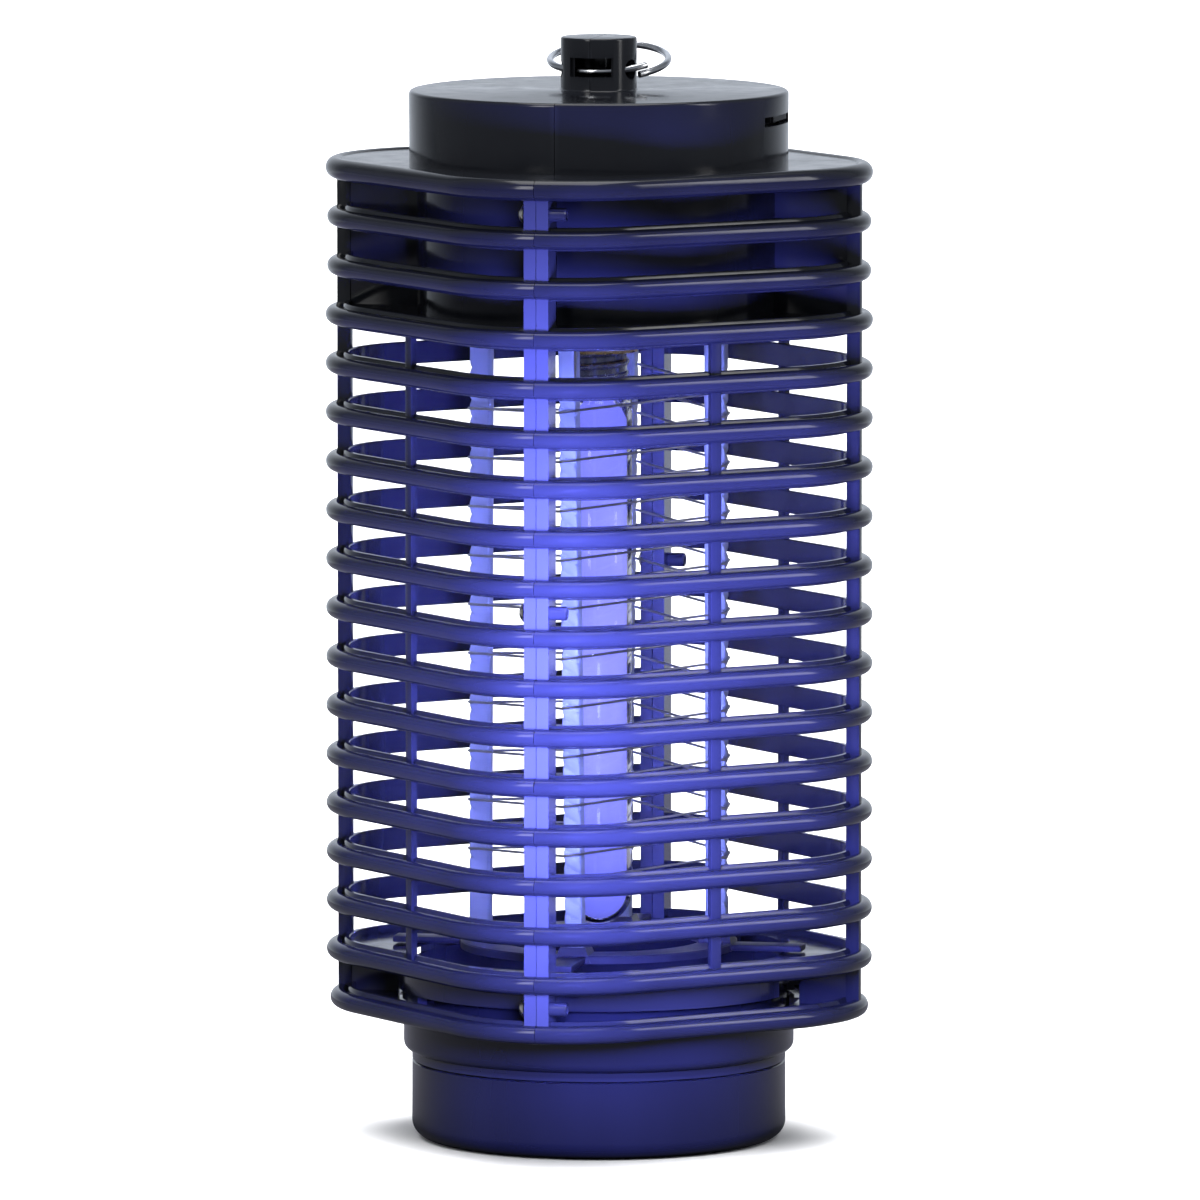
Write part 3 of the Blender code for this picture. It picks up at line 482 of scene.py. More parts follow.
def tube(name, points, radius, finish, sides=6):
    curve = bpy.data.curves.new(name, "CURVE")
    curve.dimensions = "3D"
    curve.bevel_depth = radius
    curve.bevel_resolution = sides
    curve.use_fill_caps = True
    line = curve.splines.new("POLY")
    line.points.add(len(points) - 1)
    for point, spot in zip(line.points, points):
        point.co = (*spot, 1)
    holder = bpy.data.objects.new(name + "_line", curve)
    bpy.context.collection.objects.link(holder)
    bpy.context.view_layer.update()
    mesh = bpy.data.meshes.new_from_object(holder.evaluated_get(bpy.context.evaluated_depsgraph_get()))
    bpy.data.objects.remove(holder)
    mesh.name = name
    mesh.materials.clear()
    mesh.materials.append(finish)
    mesh.shade_smooth()
    mesh.set_sharp_from_angle(angle=math.radians(50))
    obj = bpy.data.objects.new(name, mesh)
    bpy.context.collection.objects.link(obj)
    return obj


def combine(obj, operation, tools):
    for tool in tools:
        boolean = obj.modifiers.new(operation, "BOOLEAN")
        boolean.operation = operation
        boolean.solver = "EXACT"
        boolean.object = tool
    bpy.context.view_layer.update()
    mesh = bpy.data.meshes.new_from_object(obj.evaluated_get(bpy.context.evaluated_depsgraph_get()))
    obj.modifiers.clear()
    old = obj.data
    obj.data = mesh
    bpy.data.meshes.remove(old)
    for tool in tools:
        bpy.data.objects.remove(tool)
    return obj


def join(name, objects):
    """One object from several closed shells that touch or overlap."""
    bm = bmesh.new()
    for obj in objects:
        bm.from_mesh(obj.data)
    finish = objects[0].data.materials[0]
    mesh = bpy.data.meshes.new(name)
    bm.to_mesh(mesh)
    bm.free()
    mesh.materials.append(finish)
    for obj in objects:
        bpy.data.objects.remove(obj)
    made = bpy.data.objects.new(name, mesh)
    bpy.context.collection.objects.link(made)
    return made


# ---------------------------------------------------------------- cage


def ring_z(index):
    return TOP_RING_Z - index * RING_PITCH


def half_outline(offset, start_x=HALF_GAP):
    """The +X half of the rounded square, from the front seam round to the back seam."""
    radius = CORNER_RADIUS + offset
    quarter, eighth = math.pi / 2, math.pi / 4
    lead = math.asin(start_x / radius)
    front = arc(radius, -quarter + lead, -eighth, ARC_STEPS, (0, -CORNER_CENTRE))
    side = arc(radius, -eighth, eighth, 2 * ARC_STEPS, (CORNER_CENTRE, 0))
    back = arc(radius, eighth, quarter - lead, ARC_STEPS, (0, CORNER_CENTRE))
    return front + side + back


def ring_inset(index):
    if index == RING_COUNT - 1:
        return 0.0008
    return 0.0004 if index < 3 else 0.0


def ring_section(index):
    """(offset, rise) points of the bead and the upright band behind it, all the way round."""
    bead = 0.0024 if index == 0 else BEAD_RADIUS
    low, high = -BAND_HALF_HEIGHT, 0.0019 if index == 0 else BAND_HALF_HEIGHT
    band = [
        (-BAND_OUTER, high - BAND_ROUND),
        (-BAND_OUTER - BAND_ROUND, high),
        (-BAND_INNER + BAND_ROUND, high),
        (-BAND_INNER, high - BAND_ROUND),
        (-BAND_INNER, low + BAND_ROUND),
        (-BAND_INNER + BAND_ROUND, low),
        (-BAND_OUTER - BAND_ROUND, low),
        (-BAND_OUTER, low + BAND_ROUND),
    ]
    return arc(bead, math.radians(-150), math.radians(150), 24) + band


def add_ring(bm, index):
    loops = []
    for offset, rise in ring_section(index):
        outline = half_outline(offset - ring_inset(index))
        loops.append([bm.verts.new((x, y, ring_z(index) + rise)) for x, y in outline])
    for lower, upper in zip(loops, loops[1:] + loops[:1]):
        for step in range(len(lower) - 1):
            bm.faces.new((lower[step], lower[step + 1], upper[step + 1], upper[step]))
    bm.faces.new([loop[0] for loop in loops])
    bm.faces.new([loop[-1] for loop in loops])


def add_bars(bm):
    low, high = ring_z(RING_COUNT - 1) - 0.001, TOP_RING_Z + 0.001
    half = BAR_WIDTH / 2
    outer = CORNER_REACH + 0.0001
    add_box(bm, (outer - CORNER_BAR_DEPTH, -half, low), (outer, half, high), 0, 0.00035)
    flat = SQUARE_HALF - FLAT_BAR_INSET
    flat_low, flat_top = ring_z(RING_COUNT - 2) - 0.001, ring_z(OPEN_RING) + 0.001
    for turn in (-math.pi / 4, math.pi / 4):
        add_box(bm, (flat - FLAT_BAR_DEPTH, -half, flat_low), (flat, half, flat_top), turn, 0.0003)
    for side in (-1, 1):
        ends = sorted((side * SEAM_BAR_INNER, side * (CORNER_REACH - 0.0004)))
        add_box(bm, (HALF_GAP, ends[0], low), (SEAM_BAR_WIDTH, ends[1], high))


def add_plate(bm, offset, hole, low, high, notch=None):
    lead = math.asin(HALF_GAP / hole)
    quarter = math.pi / 2 - lead
    if notch:
        reach, half = notch
        inner = arc(hole, quarter, half, 32) + arc(reach, half, -half, 8)
        inner += arc(hole, -half, -quarter, 32)
    else:
        inner = arc(hole, quarter, -quarter, 64)
    add_prism(bm, half_outline(offset) + inner, low, high)


def add_plates(bm):
    top = TOP_RING_Z + 0.002
    add_plate(bm, -0.0008, HOUSING_RADIUS - 0.0009, top - PLATE, top)
    add_plate(bm, -0.0023, HOUSING_RADIUS - 0.0009, HOUSING_BOTTOM + 0.0001, HOUSING_BOTTOM + PLATE)
    add_plate(bm, -0.0023, FLOOR_HOLE, FLOOR_Z, FLOOR_Z + PLATE)
    notch = (COLLAR_OUTER, LUG_NOTCH)
    add_plate(bm, -0.0028, BASE_HOLE, BASE_PLATE_Z, BASE_PLATE_Z + PLATE, notch)


def add_collar(bm):
    quarter = math.pi / 2 - HALF_GAP / FLOOR_HOLE
    for start, end in ((-quarter, -COLLAR_NOTCH), (COLLAR_NOTCH, quarter)):
        outline = arc(COLLAR_OUTER, start, end, 24) + arc(FLOOR_HOLE + 0.0002, end, start, 24)
        add_prism(bm, outline, COLLAR_BOTTOM, FLOOR_Z + 0.0008)


def add_fins(bm):
    outer = CORNER_REACH - 0.002
    low, high = HOUSING_BOTTOM + 0.0006, TOP_RING_Z + 0.0011
    add_box(bm, (HOUSING_RADIUS - 0.0008, -0.001, low), (outer, 0.001, high), 0, 0.0002)
    low, high = BASE_PLATE_Z + 0.0009, FLOOR_Z + 0.0009
    add_box(bm, (COLLAR_OUTER + 0.0012, -0.001, low), (outer, 0.001, high), 0, 0.0002)


def add_boss(bm, y, z):
    """A screw boss with a rounded rim and a pilot hole, lying along X."""
    start, end = SEAM_BAR_WIDTH - 0.0004, BOSS_END
    profile = [
        (0, start),
        (BOSS_RADIUS, start),
        (BOSS_RADIUS, end - 0.0003),
        (BOSS_RADIUS - 0.0003, end),
        (0.0012, end),
        (0.0010, end - 0.0003),
        (0.0010, end - 0.0010),
        (0, end - 0.0010),
    ]
    part = bmesh.new()
    add_turned(part, profile, 32)
    turn = Matrix.Translation((0, y, z)) @ Matrix.Rotation(math.pi / 2, 4, "Y")
    bmesh.ops.transform(part, matrix=turn, verts=part.verts)
    mesh = bpy.data.meshes.new("boss")
    part.to_mesh(mesh)
    part.free()
    bm.from_mesh(mesh)
    bpy.data.meshes.remove(mesh)


def housing_profile():
    rim, round_steps = 0.0009, 5
    ceiling = DRUM_TOP - DRUM_WALL
    ledge = TOP_RING_Z + 0.0006
    peg_round = arc(0.0005, math.pi / 2, 0, 4, (PEG_RADIUS - 0.0005, HEIGHT - 0.0005))
    foot_round = arc(0.0005, math.pi, 1.5 * math.pi, 4, (PEG_RADIUS + 0.0005, DRUM_TOP + 0.0005))
    drum_round = arc(rim, math.pi / 2, 0, round_steps, (DRUM_RADIUS - rim, DRUM_TOP - rim))
    return [
        (0, HEIGHT),
        *peg_round,
        *foot_round,
        *drum_round,
        (DRUM_RADIUS - 0.0001, ledge),
        (HOUSING_RADIUS, ledge),
        (HOUSING_RADIUS, HOUSING_BOTTOM),
        (HOUSING_RADIUS - HOUSING_WALL, HOUSING_BOTTOM),
        (HOUSING_RADIUS - HOUSING_WALL, ledge + 0.0018),
        (DRUM_RADIUS - DRUM_WALL, ledge + 0.0018),
        (DRUM_RADIUS - DRUM_WALL, ceiling),
        (PEG_RADIUS - PEG_WALL, ceiling),
        (PEG_RADIUS - PEG_WALL, HEIGHT - PEG_WALL),
        (0, HEIGHT - PEG_WALL),
    ]


def cutter(name, fill):
    bm = bmesh.new()
    fill(bm)
    return to_object(name, bm, BLACK)


def housing(has_slot):
    bm = bmesh.new()
    add_turned(bm, housing_profile(), 128)
    shell = to_object("housing", bm, BLACK)

    def beyond(bm):
        add_box(bm, (-0.1, -0.1, -0.1), (HALF_GAP, 0.1, 0.3))

    def window(bm):
        add_box(bm, (-0.005, -PEG_RADIUS - 0.001, 0.2413), (0.005, -PEG_RADIUS + 0.003, 0.2456))

    def hanger_hole(bm):
        end = HANGER_AXIS + Vector((PEG_RADIUS + 0.002, 0, 0))
        add_rod(bm, HANGER_AXIS + Vector((0.0045, 0, 0)), end, HANGER_HOLE, 32)

    def inlet(bm):
        add_rod(bm, (0, DRUM_RADIUS - 0.005, INLET_Z), (0, DRUM_RADIUS + 0.003, INLET_Z), 0.0038, 32)

    def slot(bm):
        low = (DRUM_RADIUS - 0.006, -0.0120, SLOT_Z - 0.0011)
        add_box(bm, low, (DRUM_RADIUS + 0.002, 0.0120, SLOT_Z + 0.0011), 0, 0.0004)

    tools = [cutter("beyond", beyond), cutter("window", window)]
    tools += [cutter("hanger_hole", hanger_hole), cutter("inlet", inlet)]
    if has_slot:
        tools.append(cutter("slot", slot))
    combine(shell, "DIFFERENCE", tools)
    shell.data.shade_smooth()
    shell.data.set_sharp_from_angle(angle=math.radians(25))
    return shell


def cage_half(name, has_bosses):
    bm = bmesh.new()
    for index in range(RING_COUNT):
        add_ring(bm, index)
    add_bars(bm)
    add_plates(bm)
    add_collar(bm)
    add_fins(bm)
    low = (0.0295, -0.003, UPPER_FRAME_TOP + GAP)
    add_box(bm, low, (HOUSING_RADIUS - 0.0013, 0.003, 0.2117), 0, 0.0003)
    if has_bosses:
        for tier in SCREW_TIERS:
            for side in (-1, 1):
                add_boss(bm, side * SCREW_Y, ring_z(tier) - RING_PITCH / 2)
    lattice = to_object("lattice", bm, BLACK, 38)
    made = join(name, [lattice, housing(has_bosses)])
    made.data.shade_smooth()
    made.data.set_sharp_from_angle(angle=math.radians(33))
    return made


def mirror_across_seam(obj):
    bm = bmesh.new()
    bm.from_mesh(obj.data)
    bmesh.ops.scale(bm, vec=(-1, 1, 1), verts=bm.verts)
    bmesh.ops.reverse_faces(bm, faces=bm.faces)
    bm.to_mesh(obj.data)
    bm.free()


def cage():
    right = cage_half("cage_shell_right", True)
    place(right, "cage", "cage_plastic", "cage_right_half")
    left = cage_half("cage_shell_left", False)
    mirror_across_seam(left)
    place(left, "cage", "cage_plastic", "cage_left_half")


def pan_screw(name, matrix, length, finish, nodes, radius=0.00215):
    """Pan head with a cross recess and a threaded shank, its head along +Z."""
    bm = bmesh.new()
    rise = 0.0013
    ball = (radius**2 + rise**2) / (2 * rise)
    reach = math.asin(radius / ball)
    dome = [(0, rise)]
    for step in range(1, 11):
        angle = reach * step / 10
        dome.append((ball * math.sin(angle), rise - ball * (1 - math.cos(angle))))
    profile = dome + [(0.0007, 0.0)]
    turns = int((length - 0.0012) / 0.0007)
    for turn in range(turns):
        foot = -0.0004 - turn * 0.0007
        profile += [(0.00062, foot), (0.0008, foot - 0.00035)]
    profile += [(0.00062, -length + 0.001), (0, -length)]
    add_turned(bm, profile, 40)
    head = to_object(name, bm, finish)

    for turn in (0, math.pi / 2):

        def recess(bm):
            add_box(bm, (-0.0012, -0.00024, 0.0007), (0.0012, 0.00024, 0.002), turn)

        combine(head, "DIFFERENCE", [cutter("recess", recess)])
    head.data.shade_smooth()
    head.data.set_sharp_from_angle(angle=math.radians(35))
    head.data.transform(matrix)
    place(head, "cage", "screw_steel", *nodes)


def screws():
    face = -(SEAM_BAR_WIDTH + GAP)
    turn = Matrix.Rotation(-math.pi / 2, 4, "Y")
    for level, tier in zip(("top", "middle", "bottom"), SCREW_TIERS):
        for side, y in (("front", -SCREW_Y), ("back", SCREW_Y)):
            spot = Matrix.Translation((face, y, ring_z(tier) - RING_PITCH / 2))
            spin = Matrix.Rotation(0.5 * tier + (0.4 if y > 0 else 0.9), 4, "Z")
            node = f"seam_screw_{side}_{level}"
            pan_screw(f"screw_{side}_{level}", spot @ turn @ spin, 0.0087, SCREW, [node], 0.0023)
    over = Matrix.Rotation(math.pi, 4, "X")
    for name, side in (("left", -1), ("right", 1)):
        spot = Matrix.Translation((side * 0.0345, 0, 0.1837))
        pan_screw(f"frame_fixing_{name}", spot @ over, 0.0095, SCREW, [f"frame_screw_{name}"])
        spot = Matrix.Translation((side * 0.0325, 0, 0.2139))
        pan_screw(f"board_fixing_{name}", spot, 0.0085, SCREW, [f"board_screw_{name}"])


# ---------------------------------------------------------------- hanger


def hanger():
    steps = 120
    start, end = math.radians(52), math.radians(52 - 368.5)
    tilt = Matrix.Rotation(HANGER_TILT, 3, "X")
    points = []
    for step in range(steps + 1):
        part = step / steps
        angle = start + (end - start) * part
        flat = Vector((math.sin(angle), -math.cos(angle), 0)) * HANGER_RADIUS
        flat.z = HANGER_LIFT * (0.5 - part)
        points.append(HANGER_CENTRE + tilt @ flat)
    ring = tube("hanger_split_ring", points, HANGER_WIRE, STEEL, 7)
    place(ring, "hanger", "ring_steel", "hanger_ring")


# ---------------------------------------------------------------- grid


def grid_turn(height):
    part = (POST_TOP - height) / (POST_TOP - POST_BOTTOM)
    return TWIST_TOP + (TWIST_BOTTOM - TWIST_TOP) * part


def turned_point(radius, across, angle, height):
    return Matrix.Rotation(angle, 3, "Z") @ Vector((radius, across, height))


def notch_depth(height, across):
    """Depth of the slanted notches that hold the wire. The ends of a post are plain."""
    if not NOTCH_LOW < height < NOTCH_HIGH:
        return 0.0
    wave = ((height + NOTCH_SLANT * across - NOTCH_LOW) / NOTCH_PITCH) % 1.0
    bow = 2 * wave - 1
    return NOTCH_DEPTH * bow**4 * (1.15 - 0.15 * bow**2)


def post_section(height):
    """(radius, across) points round a post, with its outer corners eased."""
    inner, outer, half = POST_RADIUS - POST_DEPTH / 2, POST_RADIUS + POST_DEPTH / 2, POST_WIDTH / 2
    ease = 0.0005
    outline = [(inner, half - ease), (inner, -half + ease), (inner + ease, -half)]
    outline += [(outer - 0.0024, -half), (outer - 0.0012, -half), (outer - ease, -half)]
    outline += [(outer - 0.3 * ease, -half + 0.3 * ease), (outer, -half + ease)]
    outline += [(outer, across * half) for across in (-0.35, 0.0, 0.35)]
    outline += [(outer, half - ease), (outer - 0.3 * ease, half - 0.3 * ease)]
    outline += [(outer - ease, half), (outer - 0.0012, half), (outer - 0.0024, half)]
    outline += [(inner + ease, half)]
    points = []
    for radius, across in outline:
        reach = max(0.0, (radius - outer + 0.0025) / 0.0025)
        run = across + (outer - radius) * (1 if across > 0 else -1)
        depth = notch_depth(height, run)
        side = -depth * 0.6 * reach * (1 if across > 0 else -1) if abs(across) > 0.75 * half else 0.0
        points.append((radius - depth * reach, across + side))
    return points


def post(index, name):
    quarter = index * math.pi / 2
    bm = bmesh.new()
    loops = []
    levels = 460
    for step in range(levels + 1):
        height = POST_BOTTOM + (POST_TOP - POST_BOTTOM) * step / levels
        angle = quarter + grid_turn(height)
        loops.append(
            [bm.verts.new(turned_point(a, b, angle, height)) for a, b in post_section(height)]
        )
    count = len(loops[0])
    for lower, upper in zip(loops, loops[1:]):
        for side in range(count):
            after = (side + 1) % count
            bm.faces.new((lower[side], lower[after], upper[after], upper[side]))
    bm.faces.new(loops[0])
    bm.faces.new(loops[-1])
    low = (POST_RADIUS - 0.0015, -0.0013, POST_TOP - 0.002)
    add_box(bm, low, (POST_RADIUS + 0.0015, 0.0013, 0.188), quarter + TWIST_TOP, 0.0002)
    made = to_object(f"post_{name}", bm, POST_PAINTED_VIOLET_LIGHT, 40)
    place(made, "cage", "post_plastic", f"grid_post_{name}")


def wire(name, first_post, node):
    """A taut winding that bends round the four posts, then a tail up through the frame."""
    reach = POST_RADIUS + POST_DEPTH / 2 + 0.0001
    across = POST_WIDTH / 2
    points = []
    for corner in range(WIRE_TURNS * 4 + 1):
        quarter = (first_post + corner) * math.pi / 2
        for side in (-1, -0.5, 0, 0.5, 1):
            height = WIRE_BOTTOM + WIRE_PITCH * (corner + side * 0.1) / 4
            bow = 0.00012 * (1 - side * side)
            spot = turned_point(reach + bow, side * across, quarter + grid_turn(height), height)
            points.append(spot)
    last = points[-1]
    points.append(Vector((last.x, last.y, last.z + 0.0012)))
    points.append(Vector((last.x, last.y, UPPER_FRAME_TOP + 0.0025)))
    place(tube(name, points, WIRE_RADIUS, WIRE, 4), "cage", "grid_steel", node)


def socket_block(bm, index):
    """A tapered pocket round the foot of one post."""
    turn = index * math.pi / 2 + TWIST_BOTTOM
    low, high = LOWER_FRAME_Z + 0.0002, 0.0467
    bottom = [(-0.0041, -0.0042), (0.0041, -0.0042), (0.0041, 0.0042), (-0.0041, 0.0042)]
    top = [(-0.0034, -0.0029), (0.0034, -0.0029), (0.0034, 0.0029), (-0.0034, 0.0029)]
    lip = [(-0.0027, -0.0023), (0.0027, -0.0023), (0.0027, 0.0023), (-0.0027, 0.0023)]
    rotate = Matrix.Rotation(turn, 3, "Z")
    rows = []
    for outline, height in ((bottom, low), (top, high), (lip, high), (lip, POST_BOTTOM - GAP)):
        rows.append([bm.verts.new(rotate @ Vector((POST_RADIUS + a, b, height))) for a, b in outline])
    for lower, upper in zip(rows, rows[1:]):
        for side in range(4):
            after = (side + 1) % 4
            bm.faces.new((lower[side], lower[after], upper[after], upper[side]))
    bm.faces.new(rows[0])
    bm.faces.new(rows[-1])


def lower_frame():
    top = LOWER_FRAME_Z + 0.0018
    inner, outer, soft = 0.0232, 0.0314, 0.0003
    bm = bmesh.new()
    add_turned(
        bm,
        [
            (inner, top - soft),
            (inner + soft, top),
            (outer - soft, top),
            (outer, top - soft),
            (outer, LOWER_FRAME_Z),
            (inner, LOWER_FRAME_Z),
        ],
        96,
    )
    for index in range(4):
        turn = index * math.pi / 2 + TWIST_BOTTOM
        low = (outer - 0.0015, -0.003, LOWER_FRAME_Z + 0.0001)
        add_box(bm, low, (0.0472, 0.003, LOWER_FRAME_Z + 0.0015), turn, 0.0003)
        socket_block(bm, index)
    place(to_object("grid_foot", bm, FRAME_BLACK), "cage", "frame_plastic", "grid_frame_lower")


def grid():
    for index, name in enumerate(POST_NAMES):
        post(index, name)
    wire("winding_live", 1, "grid_wire_live")
    wire("winding_return", 3, "grid_wire_return")
    lower_frame()


# ---------------------------------------------------------------- lamp


def lamp():
    wall, neck, neck_top = 0.0009, 0.0059, CAP_BOTTOM + 0.004
    dome = arc(TUBE_RADIUS, 0, -math.pi / 2, 16, (0, TUBE_BOTTOM + TUBE_RADIUS))
    shoulder = [
        (TUBE_RADIUS, TUBE_SHOULDER - 0.002),
        (TUBE_RADIUS - 0.0002, TUBE_SHOULDER - 0.0006),
        (TUBE_RADIUS - 0.0008, TUBE_SHOULDER + 0.0006),
        (neck, TUBE_SHOULDER + 0.0018),
    ]
    inside_dome = arc(TUBE_RADIUS - wall, -math.pi / 2, 0, 16, (0, TUBE_BOTTOM + TUBE_RADIUS))
    profile = [(neck, neck_top), *reversed(shoulder), *dome[:-1], (0, TUBE_BOTTOM)]
    profile += [(0, TUBE_BOTTOM + wall), *inside_dome[1:]]
    profile += [(TUBE_RADIUS - wall, TUBE_SHOULDER - 0.002), (neck - wall, TUBE_SHOULDER + 0.001)]
    profile += [(neck - wall, neck_top)]
    place(turned("lamp_envelope", profile, GLASS, 64), "lamp", "lamp_glass", "lamp_tube")

    core = TUBE_RADIUS - wall - 0.0003
    core_dome = arc(core, -math.pi / 2, 0, 12, (0, TUBE_BOTTOM + TUBE_RADIUS))
    profile = [(0, TUBE_BOTTOM + wall + 0.0003), *core_dome[1:]]
    profile += [(core, 0.1635), (core - 0.0012, 0.1662), (core - 0.004, 0.1675), (0, 0.1678)]
    place(turned("lamp_phosphor", profile, GLOW, 48), "lamp", "lamp_glass")
    thread_cap()


def thread_cap():
    """Screw cap with a rolled helical thread and a smooth band at the glass."""
    pitch, turns_, sides, wall = 0.0028, 4.5, 64, 0.0004
    bm = bmesh.new()
    low, high = CAP_BOTTOM + 0.0022, CAP_TOP - 0.0008
    rows, per_turn = [], sides
    levels = 90
    for level in range(levels + 1):
        height = low + (high - low) * level / levels
        fade = min(1.0, level / 8, (levels - level) / 6)
        row = []
        for side in range(per_turn):
            angle = TAU * side / per_turn
            phase = TAU * (height / pitch) - angle
            radius = CAP_RADIUS - 0.00045 + fade * 0.00045 * math.cos(phase)
            row.append(bm.verts.new((radius * math.cos(angle), radius * math.sin(angle), height)))
        rows.append(row)
    band = [(CAP_RADIUS, low - 0.0004), (CAP_RADIUS, CAP_BOTTOM), (CAP_RADIUS - wall, CAP_BOTTOM)]
    band += [(CAP_RADIUS - 0.0011, high - 0.0004), (0.0, high - 0.0002)]
    before = [rows[0]]
    for radius, height in band[:-1]:
        before.append(
            [
                bm.verts.new(
                    (radius * math.cos(TAU * s / sides), radius * math.sin(TAU * s / sides), height)
                )
                for s in range(sides)
            ]
        )
    top = [
        bm.verts.new((0.0058 * math.cos(TAU * s / sides), 0.0058 * math.sin(TAU * s / sides), CAP_TOP))
        for s in range(sides)
    ]
    chain = list(reversed(before)) + rows[1:] + [top]
    for lower, upper in zip(chain, chain[1:]):
        for side in range(sides):
            after = (side + 1) % sides
            bm.faces.new((lower[side], lower[after], upper[after], upper[side]))
    bm.faces.new(chain[0])
    bm.faces.new(chain[-1])
    place(to_object("lamp_thread_cap", bm, NICKEL_PAINTED_VIOLET, 50), "lamp", "brass", "lamp_cap")


def socket():
    bore, floor = 0.0079, SOCKET_TOP - 0.006
    low, top = UPPER_FRAME_TOP + GAP, UPPER_FRAME_TOP + GAP + 0.002
    rim = arc(0.0008, 0, -math.pi / 2, 4, (SOCKET_RADIUS - 0.0008, SOCKET_BOTTOM + 0.0008))
    holder = [
        (0, SOCKET_TOP),
        (SOCKET_RADIUS - 0.001, SOCKET_TOP),
        (SOCKET_RADIUS - 0.0003, SOCKET_TOP - 0.0003),
        (SOCKET_RADIUS, SOCKET_TOP - 0.001),
        (SOCKET_RADIUS, top),
        (0.014, top),
        (0.014, low),
        (SOCKET_RADIUS, low),
        *rim,
        (bore + 0.0004, SOCKET_BOTTOM),
        (bore, SOCKET_BOTTOM + 0.0004),
        (bore, floor),
        (0, floor),
    ]
    place(turned("socket_body", holder, CERAMIC, 64), "cage", "ceramic", "lamp_socket")
    inner, outer, lip = CAP_RADIUS + GAP, bore - GAP, SOCKET_BOTTOM - GAP
    sleeve = [
        (outer, 0.1985),
        (outer, lip),
        (0.0086, lip),
        (0.0088, lip - 0.0002),
        (0.0088, lip - 0.0005),
        (0.0086, lip - 0.0006),
        (inner, lip - 0.0006),
        (inner, 0.1985),
    ]
    place(turned("socket_shell", sleeve, BRASS, 64), "cage", "brass", "socket_sleeve")


# ---------------------------------------------------------------- switch, tray


def switch():
    half = 0.007
    bm = bmesh.new()
    low = (0.0376, KNOB_REST - half, SLOT_Z - 0.0022)
    add_box(bm, low, (0.0389, KNOB_REST + half, SLOT_Z + 0.0022), 0, 0.0002)
    low = (0.0384, KNOB_REST - half + 0.0002, SLOT_Z - 0.00075)
    add_box(bm, low, (0.0405, KNOB_REST + half - 0.0002, SLOT_Z + 0.00075), 0, 0.0002)
    for step in range(13):
        y = KNOB_REST - half + 0.0010 + step * 0.0010
        low = (0.0400, y - 0.00028, SLOT_Z - 0.0007)
        add_box(bm, low, (0.0411, y + 0.00028, SLOT_Z + 0.0007), 0, 0.0001)
    place(to_object("slide_knob", bm, KNOB_BLACK), "switch", "knob_plastic", "switch_knob")


def tray():
    low_round = arc(0.0020, 0, -math.pi / 2, 6, (FLANGE_RADIUS - 0.0020, FLANGE_BOTTOM + 0.0040))
    lip_top = BASE_PLATE_Z - GAP
    top_round = arc(0.0003, 0, math.pi / 2, 4, (FLANGE_RADIUS - 0.0003, lip_top - 0.0003))
    profile = [
        (NECK_OUTER - 0.0003, NECK_TOP),
        (NECK_OUTER, NECK_TOP - 0.0003),
        (NECK_OUTER, FLANGE_TOP),
        (FLANGE_RADIUS - 0.0010, FLANGE_TOP),
        (FLANGE_RADIUS - 0.0010, lip_top),
        *reversed(top_round),
        *low_round,
        (CUP_RADIUS, FLANGE_BOTTOM + 0.0019),
        (CUP_RADIUS, FLANGE_BOTTOM),
        (NECK_INNER, FLANGE_BOTTOM),
        (NECK_INNER, NECK_TOP),
    ]
    bm = bmesh.new()
    add_turned(bm, profile, 128)
    for side in (0, math.pi):
        middle = side + LUG_ANGLE
        start, end = middle - LUG_HALF, middle + LUG_HALF
        outline = arc(COLLAR_OUTER - 0.0006, start, end, 8) + arc(NECK_OUTER - 0.0007, end, start, 8)
        add_prism(bm, outline, 0.0321, 0.0338)
    place(to_object("tray_flange", bm, TRAY_BLACK), "tray_lock", "tray_plastic", "tray_collar")

    centre = (CUP_RADIUS - CUP_FILLET, CUP_FILLET)
    outside = arc(CUP_FILLET, 0, -math.pi / 2, 12, centre)
    inside = arc(CUP_FILLET - CUP_WALL, -math.pi / 2, 0, 8, centre)
    profile = [
        (SPIGOT_OUTER - 0.0003, SPIGOT_TOP),
        (SPIGOT_OUTER, SPIGOT_TOP - 0.0003),
        (SPIGOT_OUTER, CUP_TOP),
        (CUP_RADIUS - 0.0003, CUP_TOP),
        (CUP_RADIUS, CUP_TOP - 0.0003),
        *outside,
        (0, 0),
        (0, CUP_WALL),
        *inside,
        (CUP_RADIUS - CUP_WALL, CUP_TOP - 0.003),
        (SPIGOT_INNER, CUP_TOP - 0.001),
        (SPIGOT_INNER, SPIGOT_TOP),
    ]
    place(turned("catch_tray", profile, TRAY_BLACK, 128), "catch_cup", "tray_plastic", "tray_cup")


# ---------------------------------------------------------------- carried-over nodes

CARRIED = {
    "grid_frame_upper": FRAME_BLACK,
    "circuit_board": BOARD,
    "lamp_choke": CHOKE,
    "terminal_block": TERMINAL,
    "fuse": FUSE_GLASS,
    "switch_body": FRAME_BLACK,
    "cord_inlet_bush": RUBBER,
    "lamp_stem": GLASS,
    "lamp_cap_insulator": VITRITE,
    "lamp_end_contact": SOLDER,
    "socket_centre_contact": BRASS,
    "grid_lead_live": LEAD_RED,
    "grid_lead_return": LEAD_BLACK,
    "lamp_lead_live": LEAD_RED,
    "lamp_lead_neutral": LEAD_BLACK,
}
CARRIED.update({f"film_capacitor_{index}": FILM_RED for index in range(1, 5)})
CARRIED.update({f"rectifier_diode_{index}": DIODE for index in range(1, 5)})
CARRIED.update({f"bleed_resistor_{index}": RESISTOR for index in range(1, 3)})


def dress_nodes():
    for name, finish in CARRIED.items():
        mesh = frame["nodes"][name].data
        mesh.materials.clear()
        mesh.materials.append(finish)


